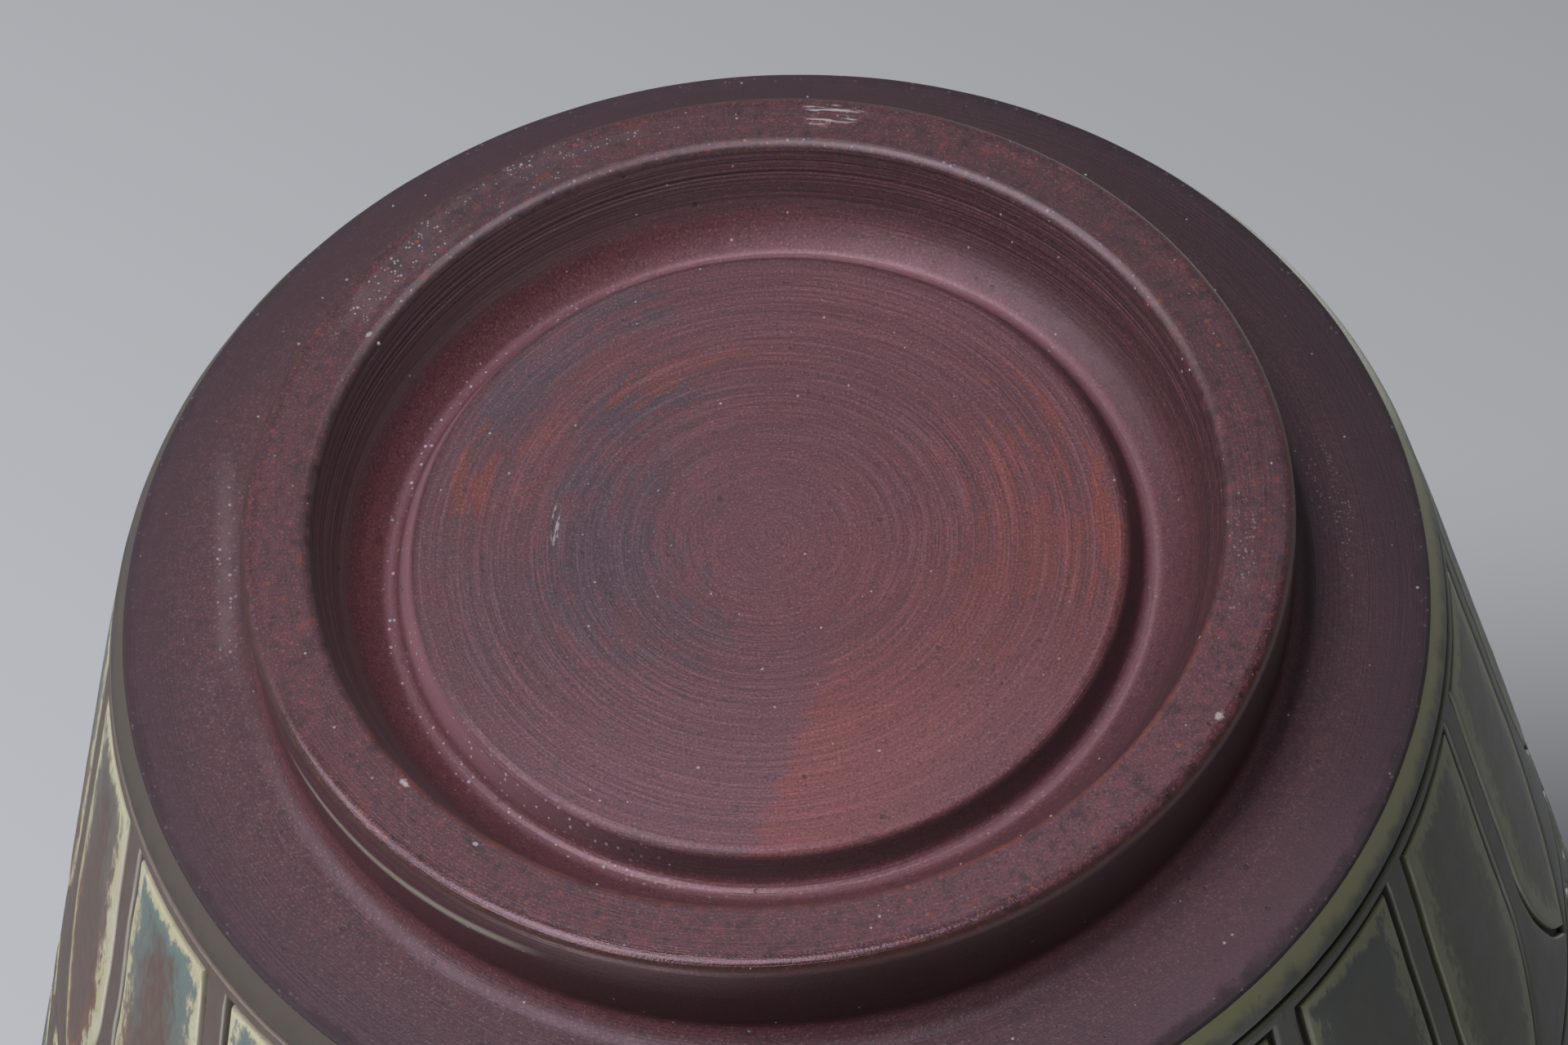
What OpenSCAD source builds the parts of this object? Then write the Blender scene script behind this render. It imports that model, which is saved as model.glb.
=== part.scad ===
// Stoneware vase: thrown clay sections luted one on another above a turned foot ring,
// under a glaze that incised lines part into separate fields.
// The origin is the centre of the plane that the foot stands on, and +Z runs up to the mouth.

/* [Foot ring] */
// Outer diameter of the face that the vase stands on
foot_d = 95; // [88:0.5:102]
// Inner diameter of that face
foot_bore_d = 82.5; // [74:0.5:86]
// Height of the foot, from the table to the underside of the body
foot_h = 12; // [10:0.5:16]
// Lean of the foot's inner wall from upright, in degrees
foot_draft = 20; // [8:1:25]
// Rounding of the outer edge of the standing face
foot_edge_r = 1; // [0.4:0.1:2]
// Rounding of the inner edge of the standing face
foot_bore_edge_r = 0.6; // [0.2:0.1:1]
// Cove between the foot's outer wall and the underside
foot_cove_r = 2.5; // [1:0.1:4]

/* [Underside] */
// Diameter of the sharp edge between the underside and the wall
base_d = 120; // [112:1:140]
// Height of the middle disc's face above the table
disc_h = 6.2; // [5:0.1:7]
// Rounding of the disc's edge
disc_edge_r = 0.5; // [0.2:0.1:1]
// Depth of the groove round the disc
groove_depth = 1.2; // [1:0.1:2]
// Width of the groove's flat bottom
groove_w = 3; // [2:0.1:6]
// Cove between the groove and the foot's inner wall
groove_cove_r = 3.2; // [2:0.1:4]

/* [Body] */
// Lean of the wall outwards from upright, in degrees
flare = 15.3; // [10:0.1:18]
// Thickness of the clay wall
wall_t = 7; // [5:0.1:9]
// Height of the inside floor above the table
floor_h = 20; // [16:0.5:26]
// Rounding between the inside floor and the wall
floor_fillet_r = 10; // [6:0.5:16]
// Straight wall that is thrown in one with the base
base_wall_h = 8; // [4:0.5:16]
// Height of the widest place above the table
belly_h = 160; // [150:1:180]
// Radius of the shoulder's curve, seen from the side
shoulder_r = 38; // [32:0.5:44]
// Rise of the straight part of the shoulder from level, in degrees
shoulder_rise = 25; // [18:1:32]

/* [Neck and lip] */
// Outer diameter of the neck
neck_d = 98; // [84:1:108]
// Cove between the shoulder and the neck
neck_cove_r = 14; // [11:0.5:18]
// Height of the upright part of the neck
neck_h = 6; // [2:0.5:20]
// Radius of the lip's outward curve, seen from the side
lip_r = 12; // [8:0.5:16]
// Turn of the lip outwards from upright, in degrees
lip_turn = 50; // [30:1:60]

/* [Glaze] */
// Thickness of the outer glaze
coat_t = 0.8; // [0.5:0.1:1.2]
// Thickness of the inner glaze
liner_t = 0.6; // [0.4:0.1:1]
// Bare clay left between the sharp edge and the glaze
bare_edge = 0.8; // [0.5:0.1:2]
// Width of an incised line
line_w = 1; // [0.7:0.1:1.4]
// Height of the plain band above the bare edge, along the wall
plain_band_h = 3.2; // [2:0.2:6]
// Ground left between a band's edge and the lines round its ornament
band_margin = 1.2; // [0.6:0.1:2]

/* [Petal band] */
// Petals in the ring
petal_count = 22; // [16:2:26]
// Ground left between two petals' lines
petal_space = 2.6; // [1:0.1:4]
// Height of a petal's sides
petal_side_h = 32; // [20:0.5:36]
// Height of a petal's pointed arch
petal_arch_h = 25; // [18:0.5:27]

/* [Bead band] */
// Diameter of a bead
bead_d = 6.5; // [4:0.1:8]
// Ground left between two beads' lines
bead_space = 3; // [1:0.1:5]

/* [Reed band] */
// Width of a reed
reed_w = 6.5; // [4:0.1:8]
// Height of a reed with its round ends
reed_h = 36; // [20:0.5:40]
// Ground left between two reeds' lines
reed_space = 3.2; // [1:0.1:5]

/* [Hidden] */
// Sides of a full circle on screen
$fn = 144;
// Sides of an ornament's circle on screen
ornament_fn = 48;
// Straight steps in a quarter of an outline's arc
arc_steps = 10;
// Depth to which an ornament's outline is drawn either way from the wall's surface
cut_reach = 4;

clay_colour = "#5b3e41";
foot_colour = "#6a4a48";
ground_colour = "#6d5145";
petal_colour = "#c9bd8d";
bead_colour = "#b9b083";
reed_colour = "#8f9c86";
olive_colour = "#6f7048";
band_colour = "#7d7a68";
liner_colour = "#8a8768";

foot_r = foot_d / 2;
foot_bore_r = foot_bore_d / 2;
base_r = base_d / 2;
neck_r = neck_d / 2;

// Points of an arc about c, from angle a0 to a1
function arc(c, r, a0, a1) =
    let (n = max(2, ceil(abs(a1 - a0) / 90 * arc_steps)))
    [for (i = [0:n]) c + r * [cos(a0 + (a1 - a0) * i / n), sin(a0 + (a1 - a0) * i / n)]];

function reversed(points) = [for (i = [len(points) - 1:-1:0]) points[i]];

// Point on the straight wall: s along it from the sharp edge, o out from the clay's face
function wall_pt(s, o) =
    [base_r + s * sin(flare) + o * cos(flare), foot_h + s * cos(flare) - o * sin(flare)];

// Underside: the groove's cove runs tangent into the foot's inner wall, where the foot is luted on
groove_h = disc_h + groove_depth;
cove_z = groove_h - groove_cove_r;
bore_run = (cove_z + groove_cove_r * sin(foot_draft)) / cos(foot_draft);
cove_centre = [foot_bore_r - bore_run * sin(foot_draft) - groove_cove_r * cos(foot_draft), cove_z];
foot_joint = cove_centre + groove_cove_r * [cos(foot_draft), sin(foot_draft)];
disc_r = cove_centre[0] - groove_w;
foot_cove_centre = [foot_r + foot_cove_r, foot_h - foot_cove_r];

// Foot ring: rounded standing edges
bore_edge_centre = [foot_bore_r + foot_bore_edge_r / tan(45 + foot_draft / 2), foot_bore_edge_r];

// Inside floor: the fillet runs tangent into the wall, and the base section ends above it
fillet_s = (floor_h + floor_fillet_r - foot_h - (wall_t + floor_fillet_r) * sin(flare)) / cos(flare);
fillet_centre = wall_pt(fillet_s, -wall_t - floor_fillet_r);
base_joint_s = fillet_s + base_wall_h;

// Shoulder: one curve tangent to the wall, then a straight run to the neck's cove
shoulder_end = 90 - shoulder_rise;
shoulder_out = [cos(shoulder_end), sin(shoulder_end)];
shoulder_run = [-sin(shoulder_end), cos(shoulder_end)];
shoulder_centre = [base_r + ((belly_h - foot_h) * sin(flare) - shoulder_r) / cos(flare), belly_h];
wall_end_s = (belly_h - shoulder_r * sin(flare) - foot_h) / cos(flare);
slope_reach = shoulder_centre[0] + shoulder_r * shoulder_out[0] - neck_r;
slope_len = (slope_reach - neck_cove_r * (1 - shoulder_out[0])) / shoulder_out[1];

// Point on the shoulder's straight run: l along it, o out from the clay's face
function slope_pt(l, o) = shoulder_centre + (shoulder_r + o) * shoulder_out + l * shoulder_run;

function shoulder_arc(o) = arc(shoulder_centre, shoulder_r + o, -flare, shoulder_end);

// Neck: cove, upright part and turned lip with a round end
neck_foot = slope_pt(slope_len, neck_cove_r);
lip_centre = [neck_r + lip_r, neck_foot[1] + neck_h];
lip_end = 180 - lip_turn;
lip_end_centre = lip_centre + (lip_r + wall_t / 2) * [cos(lip_end), sin(lip_end)];

function neck_line(o) = concat(
    arc(neck_foot, neck_cove_r - o, 180 + shoulder_end, 180),
    arc(lip_centre, lip_r - o, 180, lip_end));
function lip_round(o) = arc(lip_end_centre, wall_t / 2 + o, lip_end - 180, lip_end);

// Inside of the vase from the middle of the floor to the lip, o out from the wall's outer face
function inside_line(o) = concat(
    [[0, floor_h - wall_t - o]],
    arc(fillet_centre, floor_fillet_r + wall_t + o, -90, -flare),
    shoulder_arc(o),
    neck_line(o));

// Glaze fields stacked along the wall, with an incised line between each two
line_margin = line_w + band_margin;
petal_band_s = bare_edge + plain_band_h + line_w;
petal_s = petal_band_s + line_margin;
petal_band_end_s = petal_s + petal_side_h + petal_arch_h + line_margin;
bead_band_s = petal_band_end_s + line_w;
bead_s = bead_band_s + line_margin + bead_d / 2;
bead_band_end_s = bead_s + bead_d / 2 + line_margin;
reed_band_s = bead_band_end_s + line_w;
reed_s = reed_band_s + line_margin;
reed_band_end_s = reed_s + reed_h + line_margin;
shoulder_glaze_s = reed_band_end_s + line_w;

// Length round the wall at s, shared by count copies
function pitch(s, count) = 2 * PI * wall_pt(s, 0)[0] / count;

// Largest even count of copies that are each width wide, with space between their lines
function even_count(s, width, space) = 2 * floor(pitch(s, 2) / (width + 2 * line_w + space));

bead_count = even_count(bead_s, bead_d, bead_space);
reed_count = even_count(reed_s, reed_w, reed_space);

// Petal: sides that spread with the wall, under an arch of two arcs, each centred past the far side
petal_foot_w = pitch(petal_s, petal_count) - 2 * line_w - petal_space;
petal_w = pitch(petal_s + petal_side_h, petal_count) - 2 * line_w - petal_space;
petal_arch_c = (petal_arch_h * petal_arch_h - petal_w * petal_w / 4) / petal_w;
petal_arch_r = petal_arch_c + petal_w / 2;

module turned(points) {
    rotate_extrude() polygon(points);
}

// Ring of glaze on the straight wall, between s0 and s1
module wall_band(s0, s1) {
    turned([wall_pt(s0, 0), wall_pt(s1, 0), wall_pt(s1, coat_t), wall_pt(s0, coat_t)]);
}

// Ring of upright copies of an outline on the wall at s, with +X midway between two of them
module ring_on_wall(count, s) {
    for (i = [0:count - 1])
        rotate([0, 0, (i + 0.5) * 360 / count])
            translate([base_r, 0, foot_h])
                rotate([90 + flare, 0, 90])
                    translate([0, s, -cut_reach])
                        linear_extrude(2 * cut_reach)
                            children();
}

// Outlines of one ornament, each grown by the width of the line round it
module petal_outline(grow) {
    arch_tip = acos(petal_arch_c / (petal_arch_r + grow));
    right_side = arc([-petal_arch_c, petal_side_h], petal_arch_r + grow, 0, arch_tip);
    left_side = [for (p = reversed(right_side)) [-p[0], p[1]]];
    foot = [[-petal_foot_w / 2 - grow, -grow], [petal_foot_w / 2 + grow, -grow]];
    polygon(concat(foot, right_side, [for (i = [1:len(left_side) - 1]) left_side[i]]));
}

module bead_outline(grow) {
    rotate(90) circle(d = bead_d + 2 * grow, $fn = ornament_fn);
}

module reed_outline(grow) {
    width = reed_w + 2 * grow;
    translate([-width / 2, reed_w / 2]) square([width, reed_h - reed_w]);
    for (end_y = [reed_w / 2, reed_h - reed_w / 2])
        translate([0, end_y]) rotate(90) circle(d = width, $fn = ornament_fn);
}

module petals(grow) {
    ring_on_wall(petal_count, petal_s) petal_outline(grow);
}

module beads(grow) {
    ring_on_wall(bead_count, bead_s) bead_outline(grow);
}

module reeds(grow) {
    ring_on_wall(reed_count, reed_s) reed_outline(grow);
}

module foot_ring() {
    color(foot_colour)
        turned(concat(
            arc(bore_edge_centre, foot_bore_edge_r, 180 + foot_draft, 270),
            arc([foot_r - foot_edge_r, foot_edge_r], foot_edge_r, -90, 0),
            [[foot_r, foot_joint[1]], foot_joint]));
}

module base_section() {
    color(clay_colour)
        turned(concat(
            [[0, disc_h]],
            arc([disc_r - disc_edge_r, disc_h + disc_edge_r], disc_edge_r, -90, 0),
            [[disc_r, groove_h]],
            arc(cove_centre, groove_cove_r, 90, foot_draft),
            [[foot_r, foot_joint[1]]],
            arc(foot_cove_centre, foot_cove_r, 180, 90),
            [wall_pt(0, 0), wall_pt(base_joint_s, 0), wall_pt(base_joint_s, -wall_t)],
            arc(fillet_centre, floor_fillet_r, -flare, -90),
            [[0, floor_h]]));
}

module wall_section() {
    color(clay_colour)
        turned([
            wall_pt(base_joint_s, 0), wall_pt(wall_end_s, 0),
            wall_pt(wall_end_s, -wall_t), wall_pt(base_joint_s, -wall_t)]);
}

module shoulder_section() {
    color(clay_colour)
        turned(concat(
            shoulder_arc(0), [slope_pt(slope_len, 0), slope_pt(slope_len, -wall_t)],
            reversed(shoulder_arc(-wall_t))));
}

module neck_section() {
    color(clay_colour)
        turned(concat(neck_line(0), lip_round(0), reversed(neck_line(-wall_t))));
}

module plain_band_glaze() {
    color(band_colour) wall_band(bare_edge, bare_edge + plain_band_h);
}

module petal_ground_glaze() {
    color(ground_colour)
        difference() {
            wall_band(petal_band_s, petal_band_end_s);
            petals(line_w);
        }
}

module petal_glaze() {
    color(petal_colour)
        intersection() {
            wall_band(petal_band_s, petal_band_end_s);
            petals(0);
        }
}

module bead_ground_glaze() {
    color(ground_colour)
        difference() {
            wall_band(bead_band_s, bead_band_end_s);
            beads(line_w);
        }
}

module bead_glaze() {
    color(bead_colour)
        intersection() {
            wall_band(bead_band_s, bead_band_end_s);
            beads(0);
        }
}

module reed_ground_glaze() {
    color(olive_colour)
        difference() {
            wall_band(reed_band_s, reed_band_end_s);
            reeds(line_w);
        }
}

module reed_glaze() {
    color(reed_colour)
        intersection() {
            wall_band(reed_band_s, reed_band_end_s);
            reeds(0);
        }
}

module shoulder_glaze() {
    color(olive_colour)
        turned(concat(
            [wall_pt(shoulder_glaze_s, 0)], shoulder_arc(0), [slope_pt(slope_len - line_w, 0)],
            [slope_pt(slope_len - line_w, coat_t)], reversed(shoulder_arc(coat_t)),
            [wall_pt(shoulder_glaze_s, coat_t)]));
}

module neck_glaze() {
    color(olive_colour)
        turned(concat(
            neck_line(0), lip_round(0),
            reversed(lip_round(coat_t)), reversed(neck_line(coat_t))));
}

module liner_glaze() {
    color(liner_colour)
        turned(concat(inside_line(-wall_t), reversed(inside_line(-wall_t - liner_t))));
}

foot_ring();
base_section();
wall_section();
shoulder_section();
neck_section();
plain_band_glaze();
petal_ground_glaze();
petal_glaze();
bead_ground_glaze();
bead_glaze();
reed_ground_glaze();
reed_glaze();
shoulder_glaze();
neck_glaze();
liner_glaze();
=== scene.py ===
import math
import random
import bmesh
import bpy
from mathutils import Matrix, Vector


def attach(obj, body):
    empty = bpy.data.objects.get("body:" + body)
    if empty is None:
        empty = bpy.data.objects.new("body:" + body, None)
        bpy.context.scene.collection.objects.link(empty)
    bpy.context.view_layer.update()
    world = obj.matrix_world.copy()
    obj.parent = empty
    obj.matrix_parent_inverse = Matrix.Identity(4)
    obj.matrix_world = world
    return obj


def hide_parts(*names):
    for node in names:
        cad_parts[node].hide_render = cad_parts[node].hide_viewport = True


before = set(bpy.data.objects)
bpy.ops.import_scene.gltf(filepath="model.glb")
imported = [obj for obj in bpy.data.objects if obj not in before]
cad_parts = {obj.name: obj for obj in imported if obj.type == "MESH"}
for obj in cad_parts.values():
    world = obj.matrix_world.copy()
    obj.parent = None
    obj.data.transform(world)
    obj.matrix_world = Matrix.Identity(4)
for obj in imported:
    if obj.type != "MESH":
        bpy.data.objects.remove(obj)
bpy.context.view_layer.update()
scene = bpy.context.scene
scene.view_settings.view_transform = "Standard"
mm = 0.001
weldGap = 1e-6      # points of a mesh nearer than this become one
sameGap = 1e-7      # points of an outline nearer than this are the same
print("frame loaded:", len(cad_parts), "nodes")


# A wire is a value in a node tree; sums on wires make the nodes
class Wire:
    def __init__(self, socket):
        self.socket = socket
        self.tree = socket.id_data

    def other(self, key):
        return Wire(self.socket.node.outputs[key])

    def math(self, operation, value=0.0):
        return put(self.tree, "ShaderNodeMath", {0: self, 1: value}, operation=operation)

    def __add__(self, value):
        return self.math("ADD", value)

    def __sub__(self, value):
        return self.math("SUBTRACT", value)

    def __rsub__(self, value):
        return self.math("MULTIPLY", -1.0) + value

    def __mul__(self, value):
        return self.math("MULTIPLY", value)

    def __truediv__(self, value):
        return self.math("DIVIDE", value)

    __radd__ = __add__
    __rmul__ = __mul__

    def ease(self, low, high, toLow=0.0, toHigh=1.0):
        sockets = {"Value": self, "From Min": low, "From Max": high, "To Min": toLow, "To Max": toHigh}
        return put(self.tree, "ShaderNodeMapRange", sockets, interpolation_type="SMOOTHSTEP")

    def over(self, low, high, toLow=0.0, toHigh=1.0):       # eased between limits in mm
        return self.ease(low * mm, high * mm, toLow, toHigh)

    def band(self, low, high, soft):        # 1 between two limits in mm, with soft edges
        return self.over(low - soft, low + soft) * self.over(high + soft, high - soft)

    def most(self, value):
        return self.math("MAXIMUM", value)


def plug(socket, value):
    if isinstance(value, Wire):
        socket.id_data.links.new(value.socket, socket)
    else:
        socket.default_value = value


def put(tree, kind, sockets=None, take=0, **settings):
    node = tree.nodes.new(kind)
    for name, value in settings.items():
        setattr(node, name, value)
    for key, value in (sockets or {}).items():
        plug(node.inputs[key], value)
    return Wire(node.outputs[take]) if len(node.outputs) else None


def axes(vector):
    x = put(vector.tree, "ShaderNodeSeparateXYZ", {0: vector})
    return x, x.other(1), x.other(2)


def vector(tree, x, y, z):
    return put(tree, "ShaderNodeCombineXYZ", {0: x, 1: y, 2: z})


def added(a, b):
    return put(a.tree, "ShaderNodeVectorMath", {0: a, 1: b}, operation="ADD")


def scaled(a, factor):
    return put(a.tree, "ShaderNodeVectorMath", {0: a, "Scale": factor}, operation="SCALE")


def fromAxis(x, y):
    return (x * x + y * y).math("SQRT")


def noise(spot, scale, detail=2.0, roughness=0.5, take=0):
    sockets = {"Vector": spot, "Scale": scale, "Detail": detail, "Roughness": roughness}
    return put(spot.tree, "ShaderNodeTexNoise", sockets, take)


def newGroup(name, kind, inputs, outputName, outputType):
    tree = bpy.data.node_groups.new(name, kind)
    for label, (socketType, value) in inputs.items():
        socket = tree.interface.new_socket(label, in_out="INPUT", socket_type="NodeSocket" + socketType)
        if value is not None:
            socket.default_value = value
    tree.interface.new_socket(outputName, in_out="OUTPUT", socket_type="NodeSocket" + outputType)
    given = tree.nodes.new("NodeGroupInput").outputs
    result = tree.nodes.new("NodeGroupOutput").inputs[0]
    return tree, {label: Wire(given[label]) for label in inputs}, result


# Outlines: lists of (radius, height) points, walked with the clay on the left

def linePath(start, end, step):
    count = max(1, math.ceil(math.dist(start, end) / step))
    return [(start[0] + (end[0] - start[0]) * i / count, start[1] + (end[1] - start[1]) * i / count)
            for i in range(count + 1)]


def arcPath(centre, radius, fromDeg, toDeg, step):
    sweep = math.radians(toDeg - fromDeg)
    count = max(4, math.ceil(abs(sweep) * radius / step))
    turns = [math.radians(fromDeg) + sweep * i / count for i in range(count + 1)]
    return [(centre[0] + radius * math.cos(a), centre[1] + radius * math.sin(a)) for a in turns]


def joined(*paths):
    points = []
    for path in paths:
        points += [p for p in path if not points or math.dist(p, points[-1]) > sameGap]
    return points


def shown(path, ridge):
    return {"path": path, "ridges": [ridge] * len(path), "shown": True}


def hidden(path):
    return {"path": path, "ridges": [0.0] * len(path), "shown": False}


def outwardAt(points, i):
    before = points[max(0, i - 1)]
    after = points[min(len(points) - 1, i + 1)]
    run, rise = after[0] - before[0], after[1] - before[1]
    size = math.hypot(run, rise)
    return rise / size, -run / size


# Scratches a tool left: each mark is a height, a depth and a half width
def scored(path, marks):
    points = []
    for i, (r, z) in enumerate(path):
        cut = sum(depth * max(0.0, 1 - abs(z - height) / half) for height, depth, half in marks)
        outR, outZ = outwardAt(path, i)
        points.append((r - cut * outR, z - cut * outZ))
    return points


# Shown stretches that touch share their normals; tool ridges die out towards a hidden joint
def outlineObject(name, stretches):
    fadeLength = 0.6 * mm
    runs = []
    for stretch in stretches:
        if runs and runs[-1]["shown"] and stretch["shown"]:
            runs[-1]["path"] += stretch["path"][1:]
            runs[-1]["ridges"] += stretch["ridges"][1:]
        else:
            runs.append({"path": list(stretch["path"]), "ridges": list(stretch["ridges"]),
                         "shown": stretch["shown"]})
    points, ridges, outwards = [], [], []
    for k, run in enumerate(runs):
        path = run["path"]
        for i, point in enumerate(path):
            inner = (i > 0 or k == 0) and (i < len(path) - 1 or k == len(runs) - 1)
            if not run["shown"] and not inner:
                continue        # the shown neighbour owns this corner
            ends = [end for end in (path[0], path[-1]) if end[0] > weldGap]
            fade = min([1.0] + [math.dist(point, end) / fadeLength for end in ends])
            points.append(point)
            ridges.append(run["ridges"][i] * fade)
            outwards.append(outwardAt(path, i) if run["shown"] else (0.0, 0.0))
    along = [0.0]
    for a, b in zip(points, points[1:]):
        along.append(along[-1] + math.dist(a, b))
    mesh = bpy.data.meshes.new(name)
    mesh.from_pydata([(r, 0.0, z) for r, z in points], [(i, i + 1) for i in range(len(points) - 1)], [])
    outward = mesh.attributes.new("outward", "FLOAT_VECTOR", "POINT")
    outward.data.foreach_set("vector", [c for r, z in outwards for c in (r, 0.0, z)])
    storeValues(mesh, "ridge", ridges)
    storeValues(mesh, "along", along)
    return newObject(name, mesh)


def storeValues(mesh, label, values):
    mesh.attributes.new(label, "FLOAT", "POINT").data.foreach_set("value", values)


def newObject(name, data):
    obj = bpy.data.objects.new(name, data)
    scene.collection.objects.link(obj)
    return obj


def named(tree, label, dataType="FLOAT"):
    return put(tree, "GeometryNodeInputNamedAttribute", {"Name": label}, data_type=dataType)


def finishTree(tree, result, geometry, material):
    merged = put(tree, "GeometryNodeMergeByDistance", {"Geometry": geometry, "Distance": weldGap})
    smooth = put(tree, "GeometryNodeSetShadeSmooth", {"Geometry": merged})
    whole = put(tree, "GeometryNodeRealizeInstances", {"Geometry": smooth})
    plug(result, put(tree, "GeometryNodeSetMaterial", {"Geometry": whole, "Material": material}))
    return tree


# Geometry tree: turns an outline round Z, with tool ridges and a slight unevenness
def makeWheelTree():
    inputs = {"Geometry": ("Geometry", None), "Segments": ("Int", 256), "Ridge depth": ("Float", 0.0),
              "Ridge pitch": ("Float", 1 * mm), "Ridge breaks": ("Float", 2.0),
              "Wobble depth": ("Float", 0.0), "Wobble scale": ("Float", 60.0), "Seed": ("Float", 1.0),
              "Material": ("Material", None)}
    tree, given, result = newGroup("turnOnWheel", "GeometryNodeTree", inputs, "Geometry", "Geometry")
    outline = given["Geometry"]
    count = put(tree, "GeometryNodeAttributeDomainSize", {"Geometry": outline}, component="MESH")
    gridSizes = {"Size X": 1.0, "Size Y": 1.0, "Vertices X": given["Segments"] + 1.0, "Vertices Y": count}
    grid = put(tree, "GeometryNodeMeshGrid", gridSizes)
    x, y, _ = axes(put(tree, "GeometryNodeInputPosition"))
    turn = (x + 0.5) * math.tau
    row = ((y + 0.5) * (count - 1.0)).math("ROUND")

    def sampled(value, dataType):
        return put(tree, "GeometryNodeSampleIndex", {"Geometry": outline, "Value": value, "Index": row},
                   data_type=dataType, domain="POINT")

    cosTurn, sinTurn = turn.math("COSINE"), turn.math("SINE")

    def turned(flat):
        out, _, up = axes(flat)
        return vector(tree, out * cosTurn, out * sinTurn, up)

    body = turned(sampled(put(tree, "GeometryNodeInputPosition"), "FLOAT_VECTOR"))
    outward = turned(sampled(named(tree, "outward", "FLOAT_VECTOR"), "FLOAT_VECTOR"))
    ridge = sampled(named(tree, "ridge"), "FLOAT")
    along = sampled(named(tree, "along"), "FLOAT")
    breaks = given["Ridge breaks"]
    pitches = along / given["Ridge pitch"] + given["Seed"]
    ridgeNoise = noise(vector(tree, pitches, cosTurn * breaks, sinTurn * breaks), 1.0)
    lines = (ridgeNoise - 0.5) * ridge * given["Ridge depth"]
    wobbleNoise = noise(added(body, given["Seed"]), given["Wobble scale"], 3.0)
    uneven = (wobbleNoise - 0.5) * given["Wobble depth"]
    final = added(body, scaled(outward, lines + uneven))
    shaped = put(tree, "GeometryNodeSetPosition", {"Geometry": grid, "Position": final})
    return finishTree(tree, result, shaped, given["Material"])


# Geometry tree: sets copies of a tile round Z and lets hand-cut lines wander
def makeRingTree():
    inputs = {"Geometry": ("Geometry", None), "Count": ("Int", 22), "Wander": ("Float", 0.0),
              "Wander scale": ("Float", 80.0), "Swell": ("Float", 0.0), "Swell scale": ("Float", 150.0),
              "Lean": ("Float", 0.0), "Seed": ("Int", 1), "Material": ("Material", None)}
    tree, given, result = newGroup("ringOfTiles", "GeometryNodeTree", inputs, "Geometry", "Geometry")
    spots = put(tree, "GeometryNodePoints", {"Count": given["Count"]})
    turn = (put(tree, "GeometryNodeInputIndex") + 0.5) * math.tau / given["Count"]
    rotation = put(tree, "FunctionNodeEulerToRotation", {0: vector(tree, 0.0, 0.0, turn)})
    copies = put(tree, "GeometryNodeInstanceOnPoints",
                 {"Points": spots, "Instance": given["Geometry"], "Rotation": rotation})
    chance = put(tree, "FunctionNodeRandomValue", {"Seed": given["Seed"]}, "Value", data_type="FLOAT")
    tint = {"Geometry": copies, "Name": "tint", "Value": chance}
    tinted = put(tree, "GeometryNodeStoreNamedAttribute", tint, data_type="FLOAT", domain="INSTANCE")
    whole = put(tree, "GeometryNodeRealizeInstances", {"Geometry": tinted})
    position = put(tree, "GeometryNodeInputPosition")
    x, y, _ = axes(position)
    swayX, swayY, _ = axes(noise(position, given["Wander scale"], take="Color"))
    radius = fromAxis(x, y)
    across = (swayX - 0.5) * given["Wander"] / radius
    upward = (swayY - 0.5) * given["Wander"]
    swell = (noise(position, given["Swell scale"], 3.0) - 0.5) * given["Swell"] * named(tree, "lift")
    out = swell * given["Lean"].math("COSINE") / radius
    down = swell * given["Lean"].math("SINE")
    move = vector(tree, x * out - y * across, y * out + x * across, upward - down)
    shaped = put(tree, "GeometryNodeSetPosition", {"Geometry": whole, "Offset": move})
    return finishTree(tree, result, shaped, given["Material"])


# Geometry tree: kiln grit, one chipped lump on each given point
def makeGritTree():
    inputs = {"Geometry": ("Geometry", None), "Chipping": ("Float", 0.8), "Seed": ("Int", 1),
              "Material": ("Material", None)}
    tree, given, result = newGroup("gritOnFoot", "GeometryNodeTree", inputs, "Geometry", "Geometry")
    lump = put(tree, "GeometryNodeMeshIcoSphere", {"Radius": 1.0, "Subdivisions": 2})
    size = named(tree, "size")

    def chance(low, high, seed):
        limits = {0: (low,) * 3, 1: (high,) * 3, "Seed": given["Seed"] + seed}
        return put(tree, "FunctionNodeRandomValue", limits, data_type="FLOAT_VECTOR")

    rotation = put(tree, "FunctionNodeEulerToRotation", {0: chance(0.0, math.tau, 0.0)})
    copies = put(tree, "GeometryNodeInstanceOnPoints",
                 {"Points": given["Geometry"], "Instance": lump, "Rotation": rotation,
                  "Scale": scaled(chance(0.55, 1.2, 1.0), size)})
    whole = put(tree, "GeometryNodeRealizeInstances", {"Geometry": copies})
    chips = noise(put(tree, "GeometryNodeInputPosition"), 2400.0, 1.0) - 0.5
    move = scaled(put(tree, "GeometryNodeInputNormal"), chips * size * given["Chipping"])
    shaped = put(tree, "GeometryNodeSetPosition", {"Geometry": whole, "Offset": move})
    return finishTree(tree, result, shaped, given["Material"])


wheelTree = makeWheelTree()
ringTree = makeRingTree()
gritTree = makeGritTree()
sharpAngle = math.radians(48)


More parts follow.
